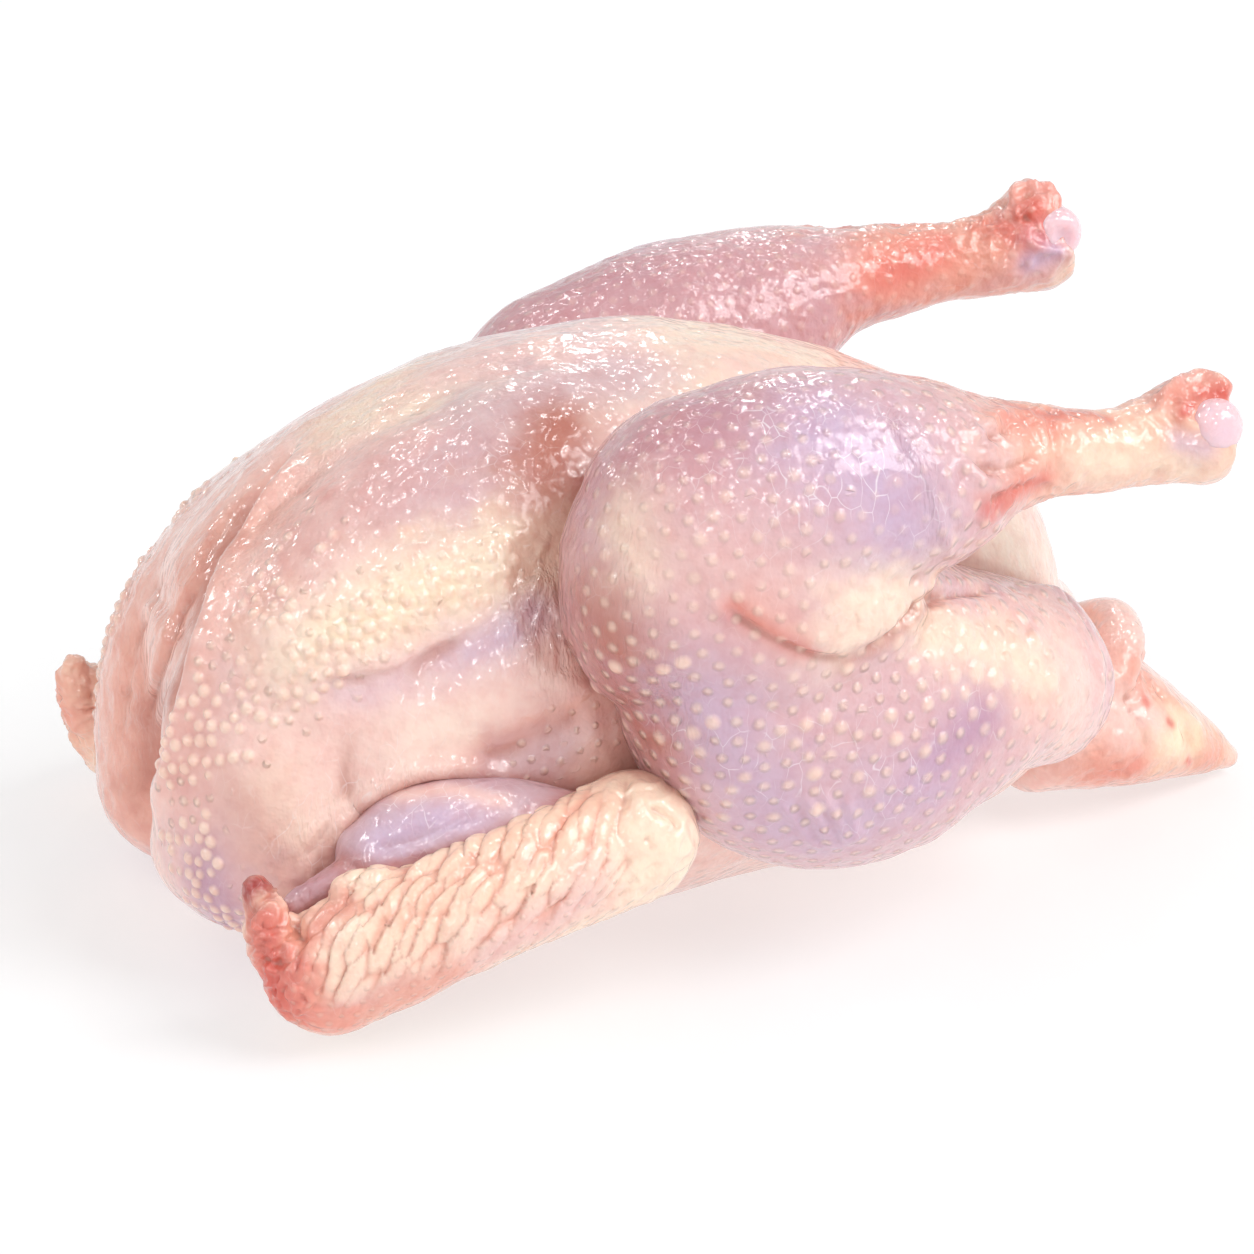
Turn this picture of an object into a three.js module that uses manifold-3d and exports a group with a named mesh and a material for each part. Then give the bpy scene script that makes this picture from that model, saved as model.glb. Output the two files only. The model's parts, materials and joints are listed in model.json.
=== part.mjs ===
// A whole raw chicken, plucked and drawn, lying on its back with its legs stretched out behind.
// Millimetres. +X runs from the neck end to the tail, +Y from the right side to the left, +Z up.
import * as THREE from "three";
import { mergeVertices } from "three/addons/utils/BufferGeometryUtils.js";
import Module from "manifold-3d";

const wasm = await Module();
wasm.setup();

// ---------- driving sizes ----------

const NECK_X = -97; // where the barrel of the body starts to round off at the neck end
const VENT_X = 80; // and at the vent
const BODY_HALF_WIDTH = 60;
const BODY_HALF_HEIGHT = 64.5;
const BREAST_HALF_WIDTH = 36; // one breast muscle, at its thickest
const BREAST_HALF_HEIGHT = 40;
const THIGH_HALF_WIDTH = 28;
const THIGH_HALF_HEIGHT = 38;
const DRUMSTICK_RADIUS = 26;
const SHANK_RADIUS = 9;
const HOCK_RADIUS = 11.5;
const KNUCKLE_RADIUS = 6.8;
const BONE_RADIUS = 4;
const WING_RADIUS = 13;
const TAIL_LENGTH = 46;
const LEG_Y = 61; // from the keel's plane to the middle of a drumstick
const LEG_Z = 105;
const WING_Y = 72;
const GAP = 0.3; // between a leg bone and the flesh round it

const RIGHT = -1;
const LEFT = 1;

// The left side lies a little differently from the right.
const LEFT_LEG_LIFT = THREE.MathUtils.degToRad(13); // the hock end is higher
const LEFT_LEG_SHIFT = new THREE.Vector3(11, 0, 7);
const LEFT_LEG_THINNESS = 0.95;
const LEFT_THIGH_SHIFT = new THREE.Vector3(8, 0, 0);
const LEFT_WING_SHIFT = new THREE.Vector3(-10, -4, -1);
const LEFT_BREAST_SHIFT = new THREE.Vector3(-1, 1, -7);

const CAP_RINGS = 3;

// ---------- shaping ----------

// One station of a limb: its centre, its half sizes across and deep, and how far an end bulges past it.
function station(x, y, z, across, deep, round = 0) {
  return { centre: new THREE.Vector3(x, y, z), size: new THREE.Vector3(across, deep, round) };
}

function mirrored(stations, side) {
  return stations.map(({ centre, size }) => ({
    centre: new THREE.Vector3(centre.x, centre.y * side, centre.z),
    size,
  }));
}

// A closed skin over rings of points, with a pole at each end.
function skinOver(rings, firstPole, lastPole) {
  const around = rings[0].length;
  const points = [firstPole, ...rings.flat(), lastPole];
  const last = points.length - 1;
  const lastRing = 1 + (rings.length - 1) * around;
  const faces = [];
  for (let i = 0; i < around; i++) {
    const next = (i + 1) % around;
    faces.push(0, 1 + next, 1 + i);
    for (let k = 0; k < rings.length - 1; k++) {
      const a = 1 + k * around;
      const b = a + around;
      faces.push(a + i, a + next, b + next);
      faces.push(a + i, b + next, b + i);
    }
    faces.push(last, lastRing + i, lastRing + next);
  }
  const geometry = new THREE.BufferGeometry().setFromPoints(points);
  geometry.setIndex(faces);
  return geometry;
}

// A limb of flesh: oval rings eased through its stations, closed by a rounded end at each side.
function limb(stations, ringCount, around) {
  const line = new THREE.CatmullRomCurve3(stations.map((s) => s.centre), false, "centripetal");
  const sizes = new THREE.CatmullRomCurve3(stations.map((s) => s.size), false, "centripetal");
  const up = new THREE.Vector3(0, 0, 1);

  const ring = (t, shrink, shift) => {
    const size = sizes.getPoint(t);
    const tangent = line.getTangent(t);
    const centre = line.getPoint(t).addScaledVector(tangent, shift);
    const across = new THREE.Vector3().crossVectors(up, tangent).normalize();
    const deep = new THREE.Vector3().crossVectors(tangent, across);
    return Array.from({ length: around }, (_, i) => {
      const angle = (2 * Math.PI * i) / around;
      return centre
        .clone()
        .addScaledVector(across, size.x * shrink * Math.cos(angle))
        .addScaledVector(deep, size.y * shrink * Math.sin(angle));
    });
  };

  const firstRound = stations[0].size.z;
  const lastRound = stations.at(-1).size.z;
  const rings = [];
  for (let k = 1; k <= CAP_RINGS; k++) {
    const angle = ((Math.PI / 2) * k) / (CAP_RINGS + 1);
    rings.push(ring(0, Math.sin(angle), -firstRound * Math.cos(angle)));
  }
  for (let k = 0; k <= ringCount; k++) rings.push(ring(k / ringCount, 1, 0));
  for (let k = CAP_RINGS; k >= 1; k--) {
    const angle = ((Math.PI / 2) * k) / (CAP_RINGS + 1);
    rings.push(ring(1, Math.sin(angle), lastRound * Math.cos(angle)));
  }
  const firstPole = line.getPoint(0).addScaledVector(line.getTangent(0), -firstRound);
  const lastPole = line.getPoint(1).addScaledVector(line.getTangent(1), lastRound);
  return skinOver(rings, firstPole, lastPole);
}

// ---------- joining ----------

function solid(geometry) {
  const bare = geometry.clone();
  bare.deleteAttribute("normal");
  bare.deleteAttribute("uv");
  const merged = mergeVertices(bare, 1e-3);
  return new wasm.Manifold(
    new wasm.Mesh({
      numProp: 3,
      vertProperties: new Float32Array(merged.attributes.position.array),
      triVerts: new Uint32Array(merged.index.array),
    }),
  );
}

function joined(geometries) {
  return geometries.map(solid).reduce((all, one) => all.add(one));
}

function meshOf(name, manifold, material) {
  const made = manifold.getMesh();
  const geometry = new THREE.BufferGeometry();
  geometry.setAttribute("position", new THREE.BufferAttribute(new Float32Array(made.vertProperties), 3));
  geometry.setIndex(new THREE.BufferAttribute(new Uint32Array(made.triVerts), 1));
  geometry.computeVertexNormals();
  const mesh = new THREE.Mesh(geometry, material);
  mesh.name = name;
  return mesh;
}

// ---------- body ----------

// Back, ribs and belly: one barrel from the neck to the vent, highest along the keel.
function barrel() {
  const length = VENT_X - NECK_X;
  const x = (share) => NECK_X + share * length;
  const w = BODY_HALF_WIDTH;
  const h = BODY_HALF_HEIGHT;
  const stations = [
    station(x(0), 0, 38, 0.77 * w, 0.59 * h, 16),
    station(x(0.085), 0, 46, 0.93 * w, 0.775 * h),
    station(x(0.243), 0, 55, w, 0.93 * h),
    station(x(0.435), 0, 58, 0.97 * w, h),
    station(x(0.605), 0, 56, 0.9 * w, 0.94 * h),
    station(x(0.785), 0, 47, 0.77 * w, 0.82 * h),
    station(x(0.92), 0, 37, 0.58 * w, 0.59 * h),
    station(x(1), 0, 33, 0.43 * w, 0.34 * h, 8),
  ];
  return limb(stations, 13, 30);
}

// The breast muscle on one side of the keel, with its thick end at the neck.
function breast(side) {
  const w = BREAST_HALF_WIDTH;
  const h = BREAST_HALF_HEIGHT;
  const foot = side === LEFT ? { z: 36, width: 0.64 } : { z: 24, width: 0.78 };
  const stations = [
    station(NECK_X - 4, 30, foot.z, foot.width * w, 0.6 * h, 16),
    station(NECK_X + 2, 25, 48, 0.75 * w, 0.75 * h),
    station(NECK_X + 19, 22, 67, 0.89 * w, 0.85 * h),
    station(NECK_X + 55, 14, 79, w, h),
    station(NECK_X + 97, 7, 79, 0.92 * w, 0.95 * h),
    station(NECK_X + 127, 3, 69, 0.72 * w, 0.78 * h, 12),
  ];
  const muscle = limb(mirrored(stations, side), 11, 24);
  if (side === LEFT) muscle.translate(...LEFT_BREAST_SHIFT);
  return muscle;
}

// Loose neck skin, folded down over the opening between the two breast muscles.
function neckFlap() {
  const reach = 18;
  const stations = [
    station(NECK_X - 8, -reach, 25, 7, 14, 5),
    station(NECK_X - 11, 0, 27, 8, 18),
    station(NECK_X - 8, reach, 25, 7, 14, 5),
  ];
  return limb(stations, 5, 14);
}

// The rim of skin over the vent, above the tail.
function ventRim() {
  const reach = 17;
  const stations = [
    station(VENT_X + 13, -reach, 30, 5, 5, 4),
    station(VENT_X + 19, 0, 37, 5.5, 5),
    station(VENT_X + 13, reach, 30, 5, 5, 4),
  ];
  return limb(stations, 5, 10);
}

function tail() {
  const x = (share) => VENT_X + 4 + share * TAIL_LENGTH;
  const stations = [
    station(x(0), 0, 24, 24, 21, 8),
    station(x(0.4), 0, 17, 21, 15),
    station(x(0.74), 0, 10, 12, 9),
    station(x(1), 0, 4, 4, 3, 3),
  ];
  return limb(stations, 6, 18);
}

// ---------- legs ----------

// The whole left leg below the knee lies higher at the hock and further back.
function poseLeg(geometry, side) {
  if (side === LEFT) {
    const hock = new THREE.Vector3(VENT_X + 11, 0, LEG_Z + 2);
    geometry.translate(-hock.x, 0, -hock.z);
    geometry.scale(1, 1, LEFT_LEG_THINNESS);
    geometry.rotateY(-LEFT_LEG_LIFT);
    geometry.translate(hock.x, 0, hock.z);
    geometry.translate(...LEFT_LEG_SHIFT);
  }
  return geometry;
}

function thigh(side) {
  const w = THIGH_HALF_WIDTH;
  const h = THIGH_HALF_HEIGHT;
  const stations = [
    station(-26, LEG_Y, 80, 0.68 * w, 0.53 * h, 6),
    station(-13, LEG_Y - 1, 71.5, 0.89 * w, 0.84 * h),
    station(6, LEG_Y - 4, 60, w, h),
    station(23, LEG_Y - 7, 54.5, w, 0.95 * h),
    station(47, LEG_Y - 15.5, 54.5, 0.93 * w, 0.68 * h),
    station(64, LEG_Y - 21, 50, 0.75 * w, 0.55 * h),
    station(71, LEG_Y - 23, 48.5, 0.63 * w, 0.45 * h, 7),
  ];
  const meat = limb(mirrored(stations, side), 10, 20);
  if (side === LEFT) meat.translate(...LEFT_THIGH_SHIFT);
  return meat;
}

// The rounded front of the leg, where the drumstick is folded on the thigh.
function knee(side) {
  const r = DRUMSTICK_RADIUS;
  const stations =
    side === LEFT
      ? [
          station(-20, LEG_Y, 76, 0.92 * r, 1.04 * r, 21),
          station(-2, LEG_Y, 75, r, 1.19 * r),
          station(18, LEG_Y - 2, 72, 0.81 * r, r, 12),
        ]
      : [
          station(-25, LEG_Y, 92, 0.92 * r, 1.19 * r, 23),
          station(-5, LEG_Y + 1, 88, r, 1.46 * r),
          station(16, LEG_Y - 1, 82, 0.85 * r, 1.23 * r, 12),
        ];
  return limb(mirrored(stations, side), 3, 16);
}

function drumstick(side) {
  const r = DRUMSTICK_RADIUS;
  const stations =
    side === LEFT
      ? [
          station(-24, LEG_Y, LEG_Z - 4, r, 1.08 * r, 25),
          station(4, LEG_Y + 1, LEG_Z + 1, r, r),
          station(28, LEG_Y + 1, LEG_Z + 4.5, 0.85 * r, 0.75 * r),
          station(45, LEG_Y - 1, LEG_Z + 6, 0.56 * r, 0.48 * r),
          station(58, LEG_Y - 2, LEG_Z + 4.8, 0.42 * r, 0.4 * r),
          station(71, LEG_Y - 3, LEG_Z + 2.4, SHANK_RADIUS, SHANK_RADIUS),
        ]
      : [
          station(-19, LEG_Y, LEG_Z - 5, 0.98 * r, 1.04 * r, 25),
          station(4, LEG_Y + 1, LEG_Z, r, r),
          station(28, LEG_Y + 1, LEG_Z + 1.5, 0.85 * r, 0.79 * r),
          station(45, LEG_Y - 1, LEG_Z + 2.2, 0.56 * r, 0.49 * r),
          station(58, LEG_Y - 2, LEG_Z + 1.6, 0.42 * r, 0.38 * r),
          station(71, LEG_Y - 3, LEG_Z + 0.3, SHANK_RADIUS, SHANK_RADIUS),
        ];
  stations.push(
    station(82, LEG_Y - 4, LEG_Z + 0.5, SHANK_RADIUS + 0.5, SHANK_RADIUS + 0.5),
    station(90, LEG_Y - 4, LEG_Z + 1.5, HOCK_RADIUS - 0.5, HOCK_RADIUS + 0.8),
    station(95.5, LEG_Y - 4, LEG_Z + 1.5, HOCK_RADIUS - 1, HOCK_RADIUS, 3),
  );
  return poseLeg(limb(mirrored(stations, side), 17, 18), side);
}

// A shank bone from the knee to the hock, where its paired knuckle of gristle shows.
function legBone(side, grow) {
  const shaft = [
    station(-6, LEG_Y, LEG_Z, 1.9 * BONE_RADIUS + grow, 1.9 * BONE_RADIUS + grow, 5 + grow),
    station(10, LEG_Y, LEG_Z, BONE_RADIUS + grow, BONE_RADIUS + grow),
    station(60, LEG_Y - 2, LEG_Z + 1, BONE_RADIUS + grow, BONE_RADIUS + grow),
    station(90, LEG_Y - 4, LEG_Z + 3, 1.2 * BONE_RADIUS + grow, 1.2 * BONE_RADIUS + grow, 2),
  ];
  const parts = [limb(mirrored(shaft, side), 4, 8)];
  for (const offset of [-0.55, 0.55]) {
    const knuckle = new THREE.SphereGeometry(KNUCKLE_RADIUS + grow, 12, 7);
    knuckle.translate(93, side * (LEG_Y - 4) + offset * KNUCKLE_RADIUS, LEG_Z + 4.5);
    parts.push(knuckle);
  }
  return joined(parts.map((part) => poseLeg(part, side)));
}

// ---------- wings ----------

// A folded wing lying beside the body: upper arm, forearm, and the stub where the tip was taken off.
function wing(side) {
  const r = WING_RADIUS;
  const upperArm = [
    station(-98, WING_Y - 28, 34, 1.08 * r, 1.08 * r, 10),
    station(-76, WING_Y - 17, 36, 1.23 * r, 1.3 * r),
    station(-54, WING_Y - 10, 36, 1.08 * r, 1.15 * r),
    station(-38, WING_Y - 7, 36, 0.92 * r, r, 8),
  ];
  const forearm = [
    station(-36, WING_Y - 3, 37, r, 1.08 * r, 14),
    station(-60, WING_Y + 2, 32, 0.92 * r, r),
    station(-85, WING_Y + 2, 24, 0.92 * r, r),
    station(-102, WING_Y - 2, 16, 0.92 * r, r, 11),
  ];
  const stub = [
    station(-104, WING_Y - 2, 15, 0.77 * r, 0.77 * r, 6),
    station(-111, WING_Y - 4, 26, 0.6 * r, 0.55 * r),
    station(-114, WING_Y - 6, 36, 0.3 * r, 0.3 * r, 3),
  ];
  const parts = [
    limb(mirrored(upperArm, side), 5, 14),
    limb(mirrored(forearm, side), 7, 16),
    limb(mirrored(stub, side), 4, 10),
  ];
  if (side === LEFT) for (const part of parts) part.translate(...LEFT_WING_SHIFT);
  return parts;
}

// ---------- the bird ----------

const flesh = [barrel(), neckFlap(), ventRim(), tail()];
for (const side of [RIGHT, LEFT]) flesh.push(breast(side), thigh(side), knee(side), drumstick(side), ...wing(side));

const carcass = joined(flesh)
  .trimByPlane([0, 0, 1], 0)
  .subtract(legBone(RIGHT, GAP))
  .subtract(legBone(LEFT, GAP));

const skin = new THREE.MeshStandardMaterial({ color: 0xeccfc6, roughness: 0.4, metalness: 0 });
const gristle = new THREE.MeshStandardMaterial({ color: 0xf3d9de, roughness: 0.25, metalness: 0 });

const chicken = new THREE.Group();
chicken.add(
  meshOf("chicken", carcass, skin),
  meshOf("leg_bone_right", legBone(RIGHT, 0), gristle),
  meshOf("leg_bone_left", legBone(LEFT, 0), gristle),
);

// The origin is under the middle of the bird, on the table.
const box = new THREE.Box3().setFromObject(chicken);
const middle = box.getCenter(new THREE.Vector3());
chicken.position.set(-middle.x, -middle.y, -box.min.z);

const table = new THREE.Group();
table.add(chicken);
export default table;
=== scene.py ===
"""Whole raw chicken: its flesh and skin, parted into body, legs, wings and tail, with two gristle knuckles."""

import json
import math

import bpy
import numpy as np
from mathutils import Matrix, Vector
from mathutils.bvhtree import BVHTree
from mathutils.kdtree import KDTree

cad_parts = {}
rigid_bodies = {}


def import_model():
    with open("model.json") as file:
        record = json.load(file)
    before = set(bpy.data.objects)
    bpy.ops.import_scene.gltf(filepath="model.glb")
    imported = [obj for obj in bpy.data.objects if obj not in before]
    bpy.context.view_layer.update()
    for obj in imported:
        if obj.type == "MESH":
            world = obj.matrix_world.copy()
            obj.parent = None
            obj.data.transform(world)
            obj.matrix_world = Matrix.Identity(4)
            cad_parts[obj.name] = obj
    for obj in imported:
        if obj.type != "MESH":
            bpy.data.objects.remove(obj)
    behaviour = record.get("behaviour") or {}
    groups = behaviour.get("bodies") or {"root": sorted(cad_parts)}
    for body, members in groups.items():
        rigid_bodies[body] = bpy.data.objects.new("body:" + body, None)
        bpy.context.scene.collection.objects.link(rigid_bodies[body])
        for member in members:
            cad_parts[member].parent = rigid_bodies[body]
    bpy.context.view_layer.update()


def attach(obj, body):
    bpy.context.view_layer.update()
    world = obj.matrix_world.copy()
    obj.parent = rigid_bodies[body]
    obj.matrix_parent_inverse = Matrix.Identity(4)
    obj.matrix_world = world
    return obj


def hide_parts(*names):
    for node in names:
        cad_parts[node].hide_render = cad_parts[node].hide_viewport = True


bl_info = {
    "name": "Whole Raw Chicken",
    "version": (1, 0, 0),
    "blender": (4, 5, 0),
    "location": "View3D > Sidebar > Chicken",
    "description": "Builds a whole raw chicken around its CAD frame",
    "category": "Object",
}

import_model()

MM = 0.001
RIGHT, LEFT = -1, 1

# ---------- the picture plane that the surface marks are given in ----------

PICTURE_SIDE = 1254
PIXELS_PER_MM = 4.6
VIEW_AZIMUTH = math.radians(-18)
VIEW_HEIGHT = math.radians(22)
VIEW_DISTANCE = 1.05
VIEW_TARGET = Vector((-0.0171, 0.0, 0.054))
SENSOR_MM = 36
FOCAL_PIXELS = PIXELS_PER_MM * VIEW_DISTANCE / MM
VIEW_BACK = Vector(
    (
        math.sin(VIEW_AZIMUTH) * math.cos(VIEW_HEIGHT),
        -math.cos(VIEW_AZIMUTH) * math.cos(VIEW_HEIGHT),
        math.sin(VIEW_HEIGHT),
    )
)
VIEW_RIGHT = Vector((math.cos(VIEW_AZIMUTH), math.sin(VIEW_AZIMUTH), 0))
VIEW_UP = VIEW_BACK.cross(VIEW_RIGHT)
VIEW_EYE = VIEW_TARGET + VIEW_BACK * VIEW_DISTANCE

# ---------- limbs: x, y, z of the middle, half width and half height, in mm ----------

FRAME_SHIFT_X = -2.5
BARREL = tuple(
    (-97 + 177 * share, 0, z, 60 * wide, 64.5 * high)
    for share, z, wide, high in (
        (0, 38, 0.77, 0.59),
        (0.085, 46, 0.93, 0.775),
        (0.243, 55, 1, 0.93),
        (0.435, 58, 0.97, 1),
        (0.605, 56, 0.9, 0.94),
        (0.785, 47, 0.77, 0.82),
        (0.92, 37, 0.58, 0.59),
        (1, 33, 0.43, 0.34),
    )
)
BREAST = (
    (-101, 30, 24, 28, 24),
    (-95, 25, 48, 27, 30),
    (-78, 22, 67, 32, 34),
    (-42, 14, 79, 36, 40),
    (0, 7, 79, 33, 38),
    (30, 3, 69, 26, 31),
)
THIGH = (
    (-26, 61, 80, 19, 20),
    (-13, 60, 71.5, 25, 32),
    (6, 57, 60, 28, 38),
    (23, 54, 54.5, 28, 36),
    (47, 45.5, 53, 26, 23),
    (64, 40, 48.5, 21, 19.5),
    (71, 38, 48.5, 17.5, 17),
)
DRUMSTICK = (
    (-19, 61, 100, 25.5, 27),
    (4, 62, 105, 26, 26),
    (28, 62, 106.5, 22, 20.5),
    (45, 60, 107.2, 14.6, 12.8),
    (58, 59, 106.6, 11, 9.6),
    (71, 58, 105.2, 9, 8.6),
    (82, 57, 105.5, 9.5, 9.3),
    (90, 57, 106.8, 11, 12),
    (95.5, 57, 107, 10.8, 11.8),
)
LEFT_DRUMSTICK = (
    (-24, 61, 101, 26, 28),
    (4, 62, 106, 26, 26),
    (28, 62, 109.5, 22, 19.5),
    (45, 60, 111, 14.6, 12.5),
    (58, 59, 109.8, 11, 10.4),
    (71, 58, 107.4, 9, 9.2),
    (82, 57, 106.2, 9.5, 9.6),
    (90, 57, 106.8, 11, 12.3),
    (95.5, 57, 107, 10.8, 12),
)
KNEE = ((-25, 61, 92, 24, 31), (-5, 62, 88, 27, 38), (16, 60, 82, 22, 32))
LEFT_KNEE = ((-20, 61, 76, 24, 27), (-2, 61, 75, 26, 31), (18, 59, 72, 21, 26))
UPPER_ARM = (
    (-88, 58, 33, 9.5, 9.5),
    (-77, 60, 38, 10.5, 12),
    (-62, 63, 38, 11, 12.5),
    (-44, 66, 35.5, 10, 10),
)
ARM_TENDON = (
    (-105.5, 62, 28.5, 2.4, 2.6),
    (-99.2, 62, 31.2, 3.4, 3.1),
    (-92, 61, 34, 3.7, 3.5),
    (-86, 60, 35, 3.8, 3.8),
)
ARM_FOLD = ((-96.5, 69, 32.5, 3, 3), (-90, 70, 33.5, 4, 3.8), (-82, 71, 34, 3.5, 3))
FOREARM = ((-36, 69, 37, 13, 14), (-60, 74, 32, 12, 13), (-85, 74, 24, 12, 13), (-102, 70, 16, 12, 13))
WING_TIP = (
    (-104, 70, 15, 10, 10),
    (-110.5, 68, 24, 6.4, 6.2),
    (-112.5, 67, 30, 4.9, 4.7),
    (-114.5, 66, 35, 2.6, 2.6),
)
TAIL = ((84, 0, 24, 24, 21), (102.4, 0, 17, 21, 15), (118, 0, 10, 12, 9), (130, 0, 4, 4, 3))
NECK_FLAP = ((-105, -18, 25, 8, 16), (-108, 0, 27, 8, 18), (-105, 18, 25, 8, 16))
VENT_RIM = (
    (93, -17, 33, 5, 5),
    (98, -10, 39.5, 5.5, 5.5),
    (100.5, 0, 41, 5, 5),
    (98, 9, 38, 5, 5),
    (93, 17, 31, 5, 5),
)
LEFT_LEG_HOCK = (91, 107)
LEFT_LEG_LIFT = math.radians(13)
LEFT_LEG_THINNESS = 0.95
LEFT_LEG_SHIFT = (11, 0, 7)
LEFT_THIGH_SHIFT = (8, 0, 0)
LEFT_WING_SHIFT = (-10, -4, -1)
LEFT_BREAST_SHIFT = (-1, 1, -7)
RINGS_PER_STATION = 5
RING_POINTS = 40
CAP_RINGS = 7


def left_leg_pose(points):
    """Right drumstick places, in mm, carried over to where the left drumstick lies (before the mirror)."""
    x = points[:, 0] - LEFT_LEG_HOCK[0]
    z = (points[:, 2] - LEFT_LEG_HOCK[1]) * LEFT_LEG_THINNESS
    turned = points.copy()
    turned[:, 0] = LEFT_LEG_HOCK[0] + x * math.cos(LEFT_LEG_LIFT) - z * math.sin(LEFT_LEG_LIFT) + LEFT_LEG_SHIFT[0]
    turned[:, 2] = LEFT_LEG_HOCK[1] + x * math.sin(LEFT_LEG_LIFT) + z * math.cos(LEFT_LEG_LIFT) + LEFT_LEG_SHIFT[2]
    return turned


def curve_through(rows, steps):
    """Rows along a smooth curve through the given rows."""
    rows = np.array(rows, float)
    padded = np.vstack([2 * rows[0] - rows[1], rows, 2 * rows[-1] - rows[-2]])
    line = [rows[0]]
    for a, b, c, d in zip(padded, padded[1:], padded[2:], padded[3:]):
        bend, twist = 2 * a - 5 * b + 4 * c - d, 3 * b - a - 3 * c + d
        for t in np.linspace(0, 1, (steps if isinstance(steps, int) else steps(b, c)) + 1)[1:]:
            line.append(0.5 * (2 * b + (c - a) * t + bend * t**2 + twist * t**3))
    return np.array(line)


def rings_of(stations, caps, side=0, pose=None, shift=(0, 0, 0)):
    """Close-set oval rings along a limb: middle, tangent, side and up directions, half width and half height."""
    fine = curve_through(stations, RINGS_PER_STATION)
    turn = np.linspace(0, math.radians(85), CAP_RINGS)[1:, None]
    for end, cap in ((0, caps[0]), (-1, caps[1])):
        inner = fine[1] if end == 0 else fine[-2]
        out = (fine[end] - inner)[:3]
        out = out / np.linalg.norm(out) * cap
        rows = np.hstack([fine[end, :3] + out * np.sin(turn), fine[end, 3:] * np.cos(turn)])
        fine = np.vstack([rows[::-1], fine]) if end == 0 else np.vstack([fine, rows])
    middle = fine[:, :3]
    if pose:
        middle = pose(middle)
    if side:
        middle = middle * (1, side, 1)
    middle = (middle + np.array(shift) + (FRAME_SHIFT_X, 0, 0)) * MM
    tangent = np.gradient(middle, axis=0)
    tangent /= np.linalg.norm(tangent, axis=1)[:, None]
    across = np.cross((0, 0, 1), tangent)
    across /= np.linalg.norm(across, axis=1)[:, None]
    return middle, tangent, across, np.cross(tangent, across), fine[:, 3] * MM, fine[:, 4] * MM


def limb_rings():
    """The rings of every limb of each piece."""
    rings = {
        "body": [
            rings_of(BARREL, (16, 8)),
            rings_of(BREAST, (16, 12), RIGHT),
            rings_of(BREAST, (16, 12), LEFT, shift=LEFT_BREAST_SHIFT),
            rings_of(NECK_FLAP, (4, 4)),
        ],
        "tail": [rings_of(TAIL, (8, 3)), rings_of(VENT_RIM, (3, 3))],
        "leg_right": [
            rings_of(DRUMSTICK, (25, 3), RIGHT),
            rings_of(THIGH, (6, 7), RIGHT),
            rings_of(KNEE, (23, 12), RIGHT),
        ],
        "leg_left": [
            rings_of(LEFT_DRUMSTICK, (25, 3), LEFT, left_leg_pose),
            rings_of(THIGH, (6, 7), LEFT, shift=LEFT_THIGH_SHIFT),
            rings_of(LEFT_KNEE, (21, 12), LEFT),
        ],
    }
    for side, name, shift in ((RIGHT, "wing_right", (0, 0, 0)), (LEFT, "wing_left", LEFT_WING_SHIFT)):
        rings[name] = [
            rings_of(FOREARM, (14, 11), side, shift=shift),
            rings_of(WING_TIP, (6, 3), side, shift=shift),
            rings_of(ARM_FOLD, (3, 4), side, shift=shift),
        ]
        rings[name.replace("wing", "arm")] = [
            rings_of(UPPER_ARM, (7, 8), side, shift=shift),
            rings_of(ARM_TENDON, (3, 3), side, shift=shift),
        ]
    return rings


def nearness(points, rings):
    """How far each point is from a limb's middle line, with 1 at the limb's own surface, and the nearest ring."""
    best = np.full(len(points), np.inf)
    which = np.zeros(len(points), int)
    for k, (middle, tangent, across, up, wide, high) in enumerate(zip(*rings)):
        rel = points - middle
        q = (rel @ across / wide) ** 2 + (rel @ up / high) ** 2 + (rel @ tangent / min(wide, high)) ** 2
        closer = q < best
        best[closer] = q[closer]
        which[closer] = k
    return np.sqrt(best), which


# ---------- small helpers ----------


def smooth_step(low, high, value):
    """A soft rise from 0 at low to 1 at high."""
    share = np.clip((value - low) / (high - low), 0, 1)
    return share * share * (3 - 2 * share)


def lattice_value(ix, iy, iz, seed):
    """A repeatable number from -1 to 1 for each whole-number place."""
    mixed = (ix * 73856093) ^ (iy * 19349663) ^ (iz * 83492791) ^ (seed * 2654435761)
    mixed = (mixed ^ (mixed >> 13)) * 1274126177 & 0xFFFFFFFF
    mixed = (mixed ^ (mixed >> 16)) * 2246822519 & 0xFFFFFFFF
    return (mixed ^ (mixed >> 15)) % 65536 / 32767.5 - 1


def cloud(points, size, seed=0):
    """Soft random lumps from -1 to 1, each about size metres across."""
    place = points / size
    low = np.floor(place).astype(np.int64)
    share = place - low
    share = share * share * (3 - 2 * share)
    total = np.zeros(len(points))
    for dx in (0, 1):
        for dy in (0, 1):
            for dz in (0, 1):
                weight = (
                    (share[:, 0] if dx else 1 - share[:, 0])
                    * (share[:, 1] if dy else 1 - share[:, 1])
                    * (share[:, 2] if dz else 1 - share[:, 2])
                )
                total += weight * lattice_value(low[:, 0] + dx, low[:, 1] + dy, low[:, 2] + dz, seed)
    return total


def clouds(points, kinds, base=0):
    """A base value with clouds added to it, each given by its height, size and seed."""
    return sum((height * cloud(points, size, seed) for height, size, seed in kinds), base)


def deselect_all():
    """Leaves edit mode and selects nothing."""
    if bpy.context.object and bpy.context.object.mode != "OBJECT":
        bpy.ops.object.mode_set(mode="OBJECT")
    bpy.ops.object.select_all(action="DESELECT")


def select_only(obj):
    """Selects one object alone and makes it the active one."""
    deselect_all()
    obj.select_set(True)
    bpy.context.view_layer.objects.active = obj


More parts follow.
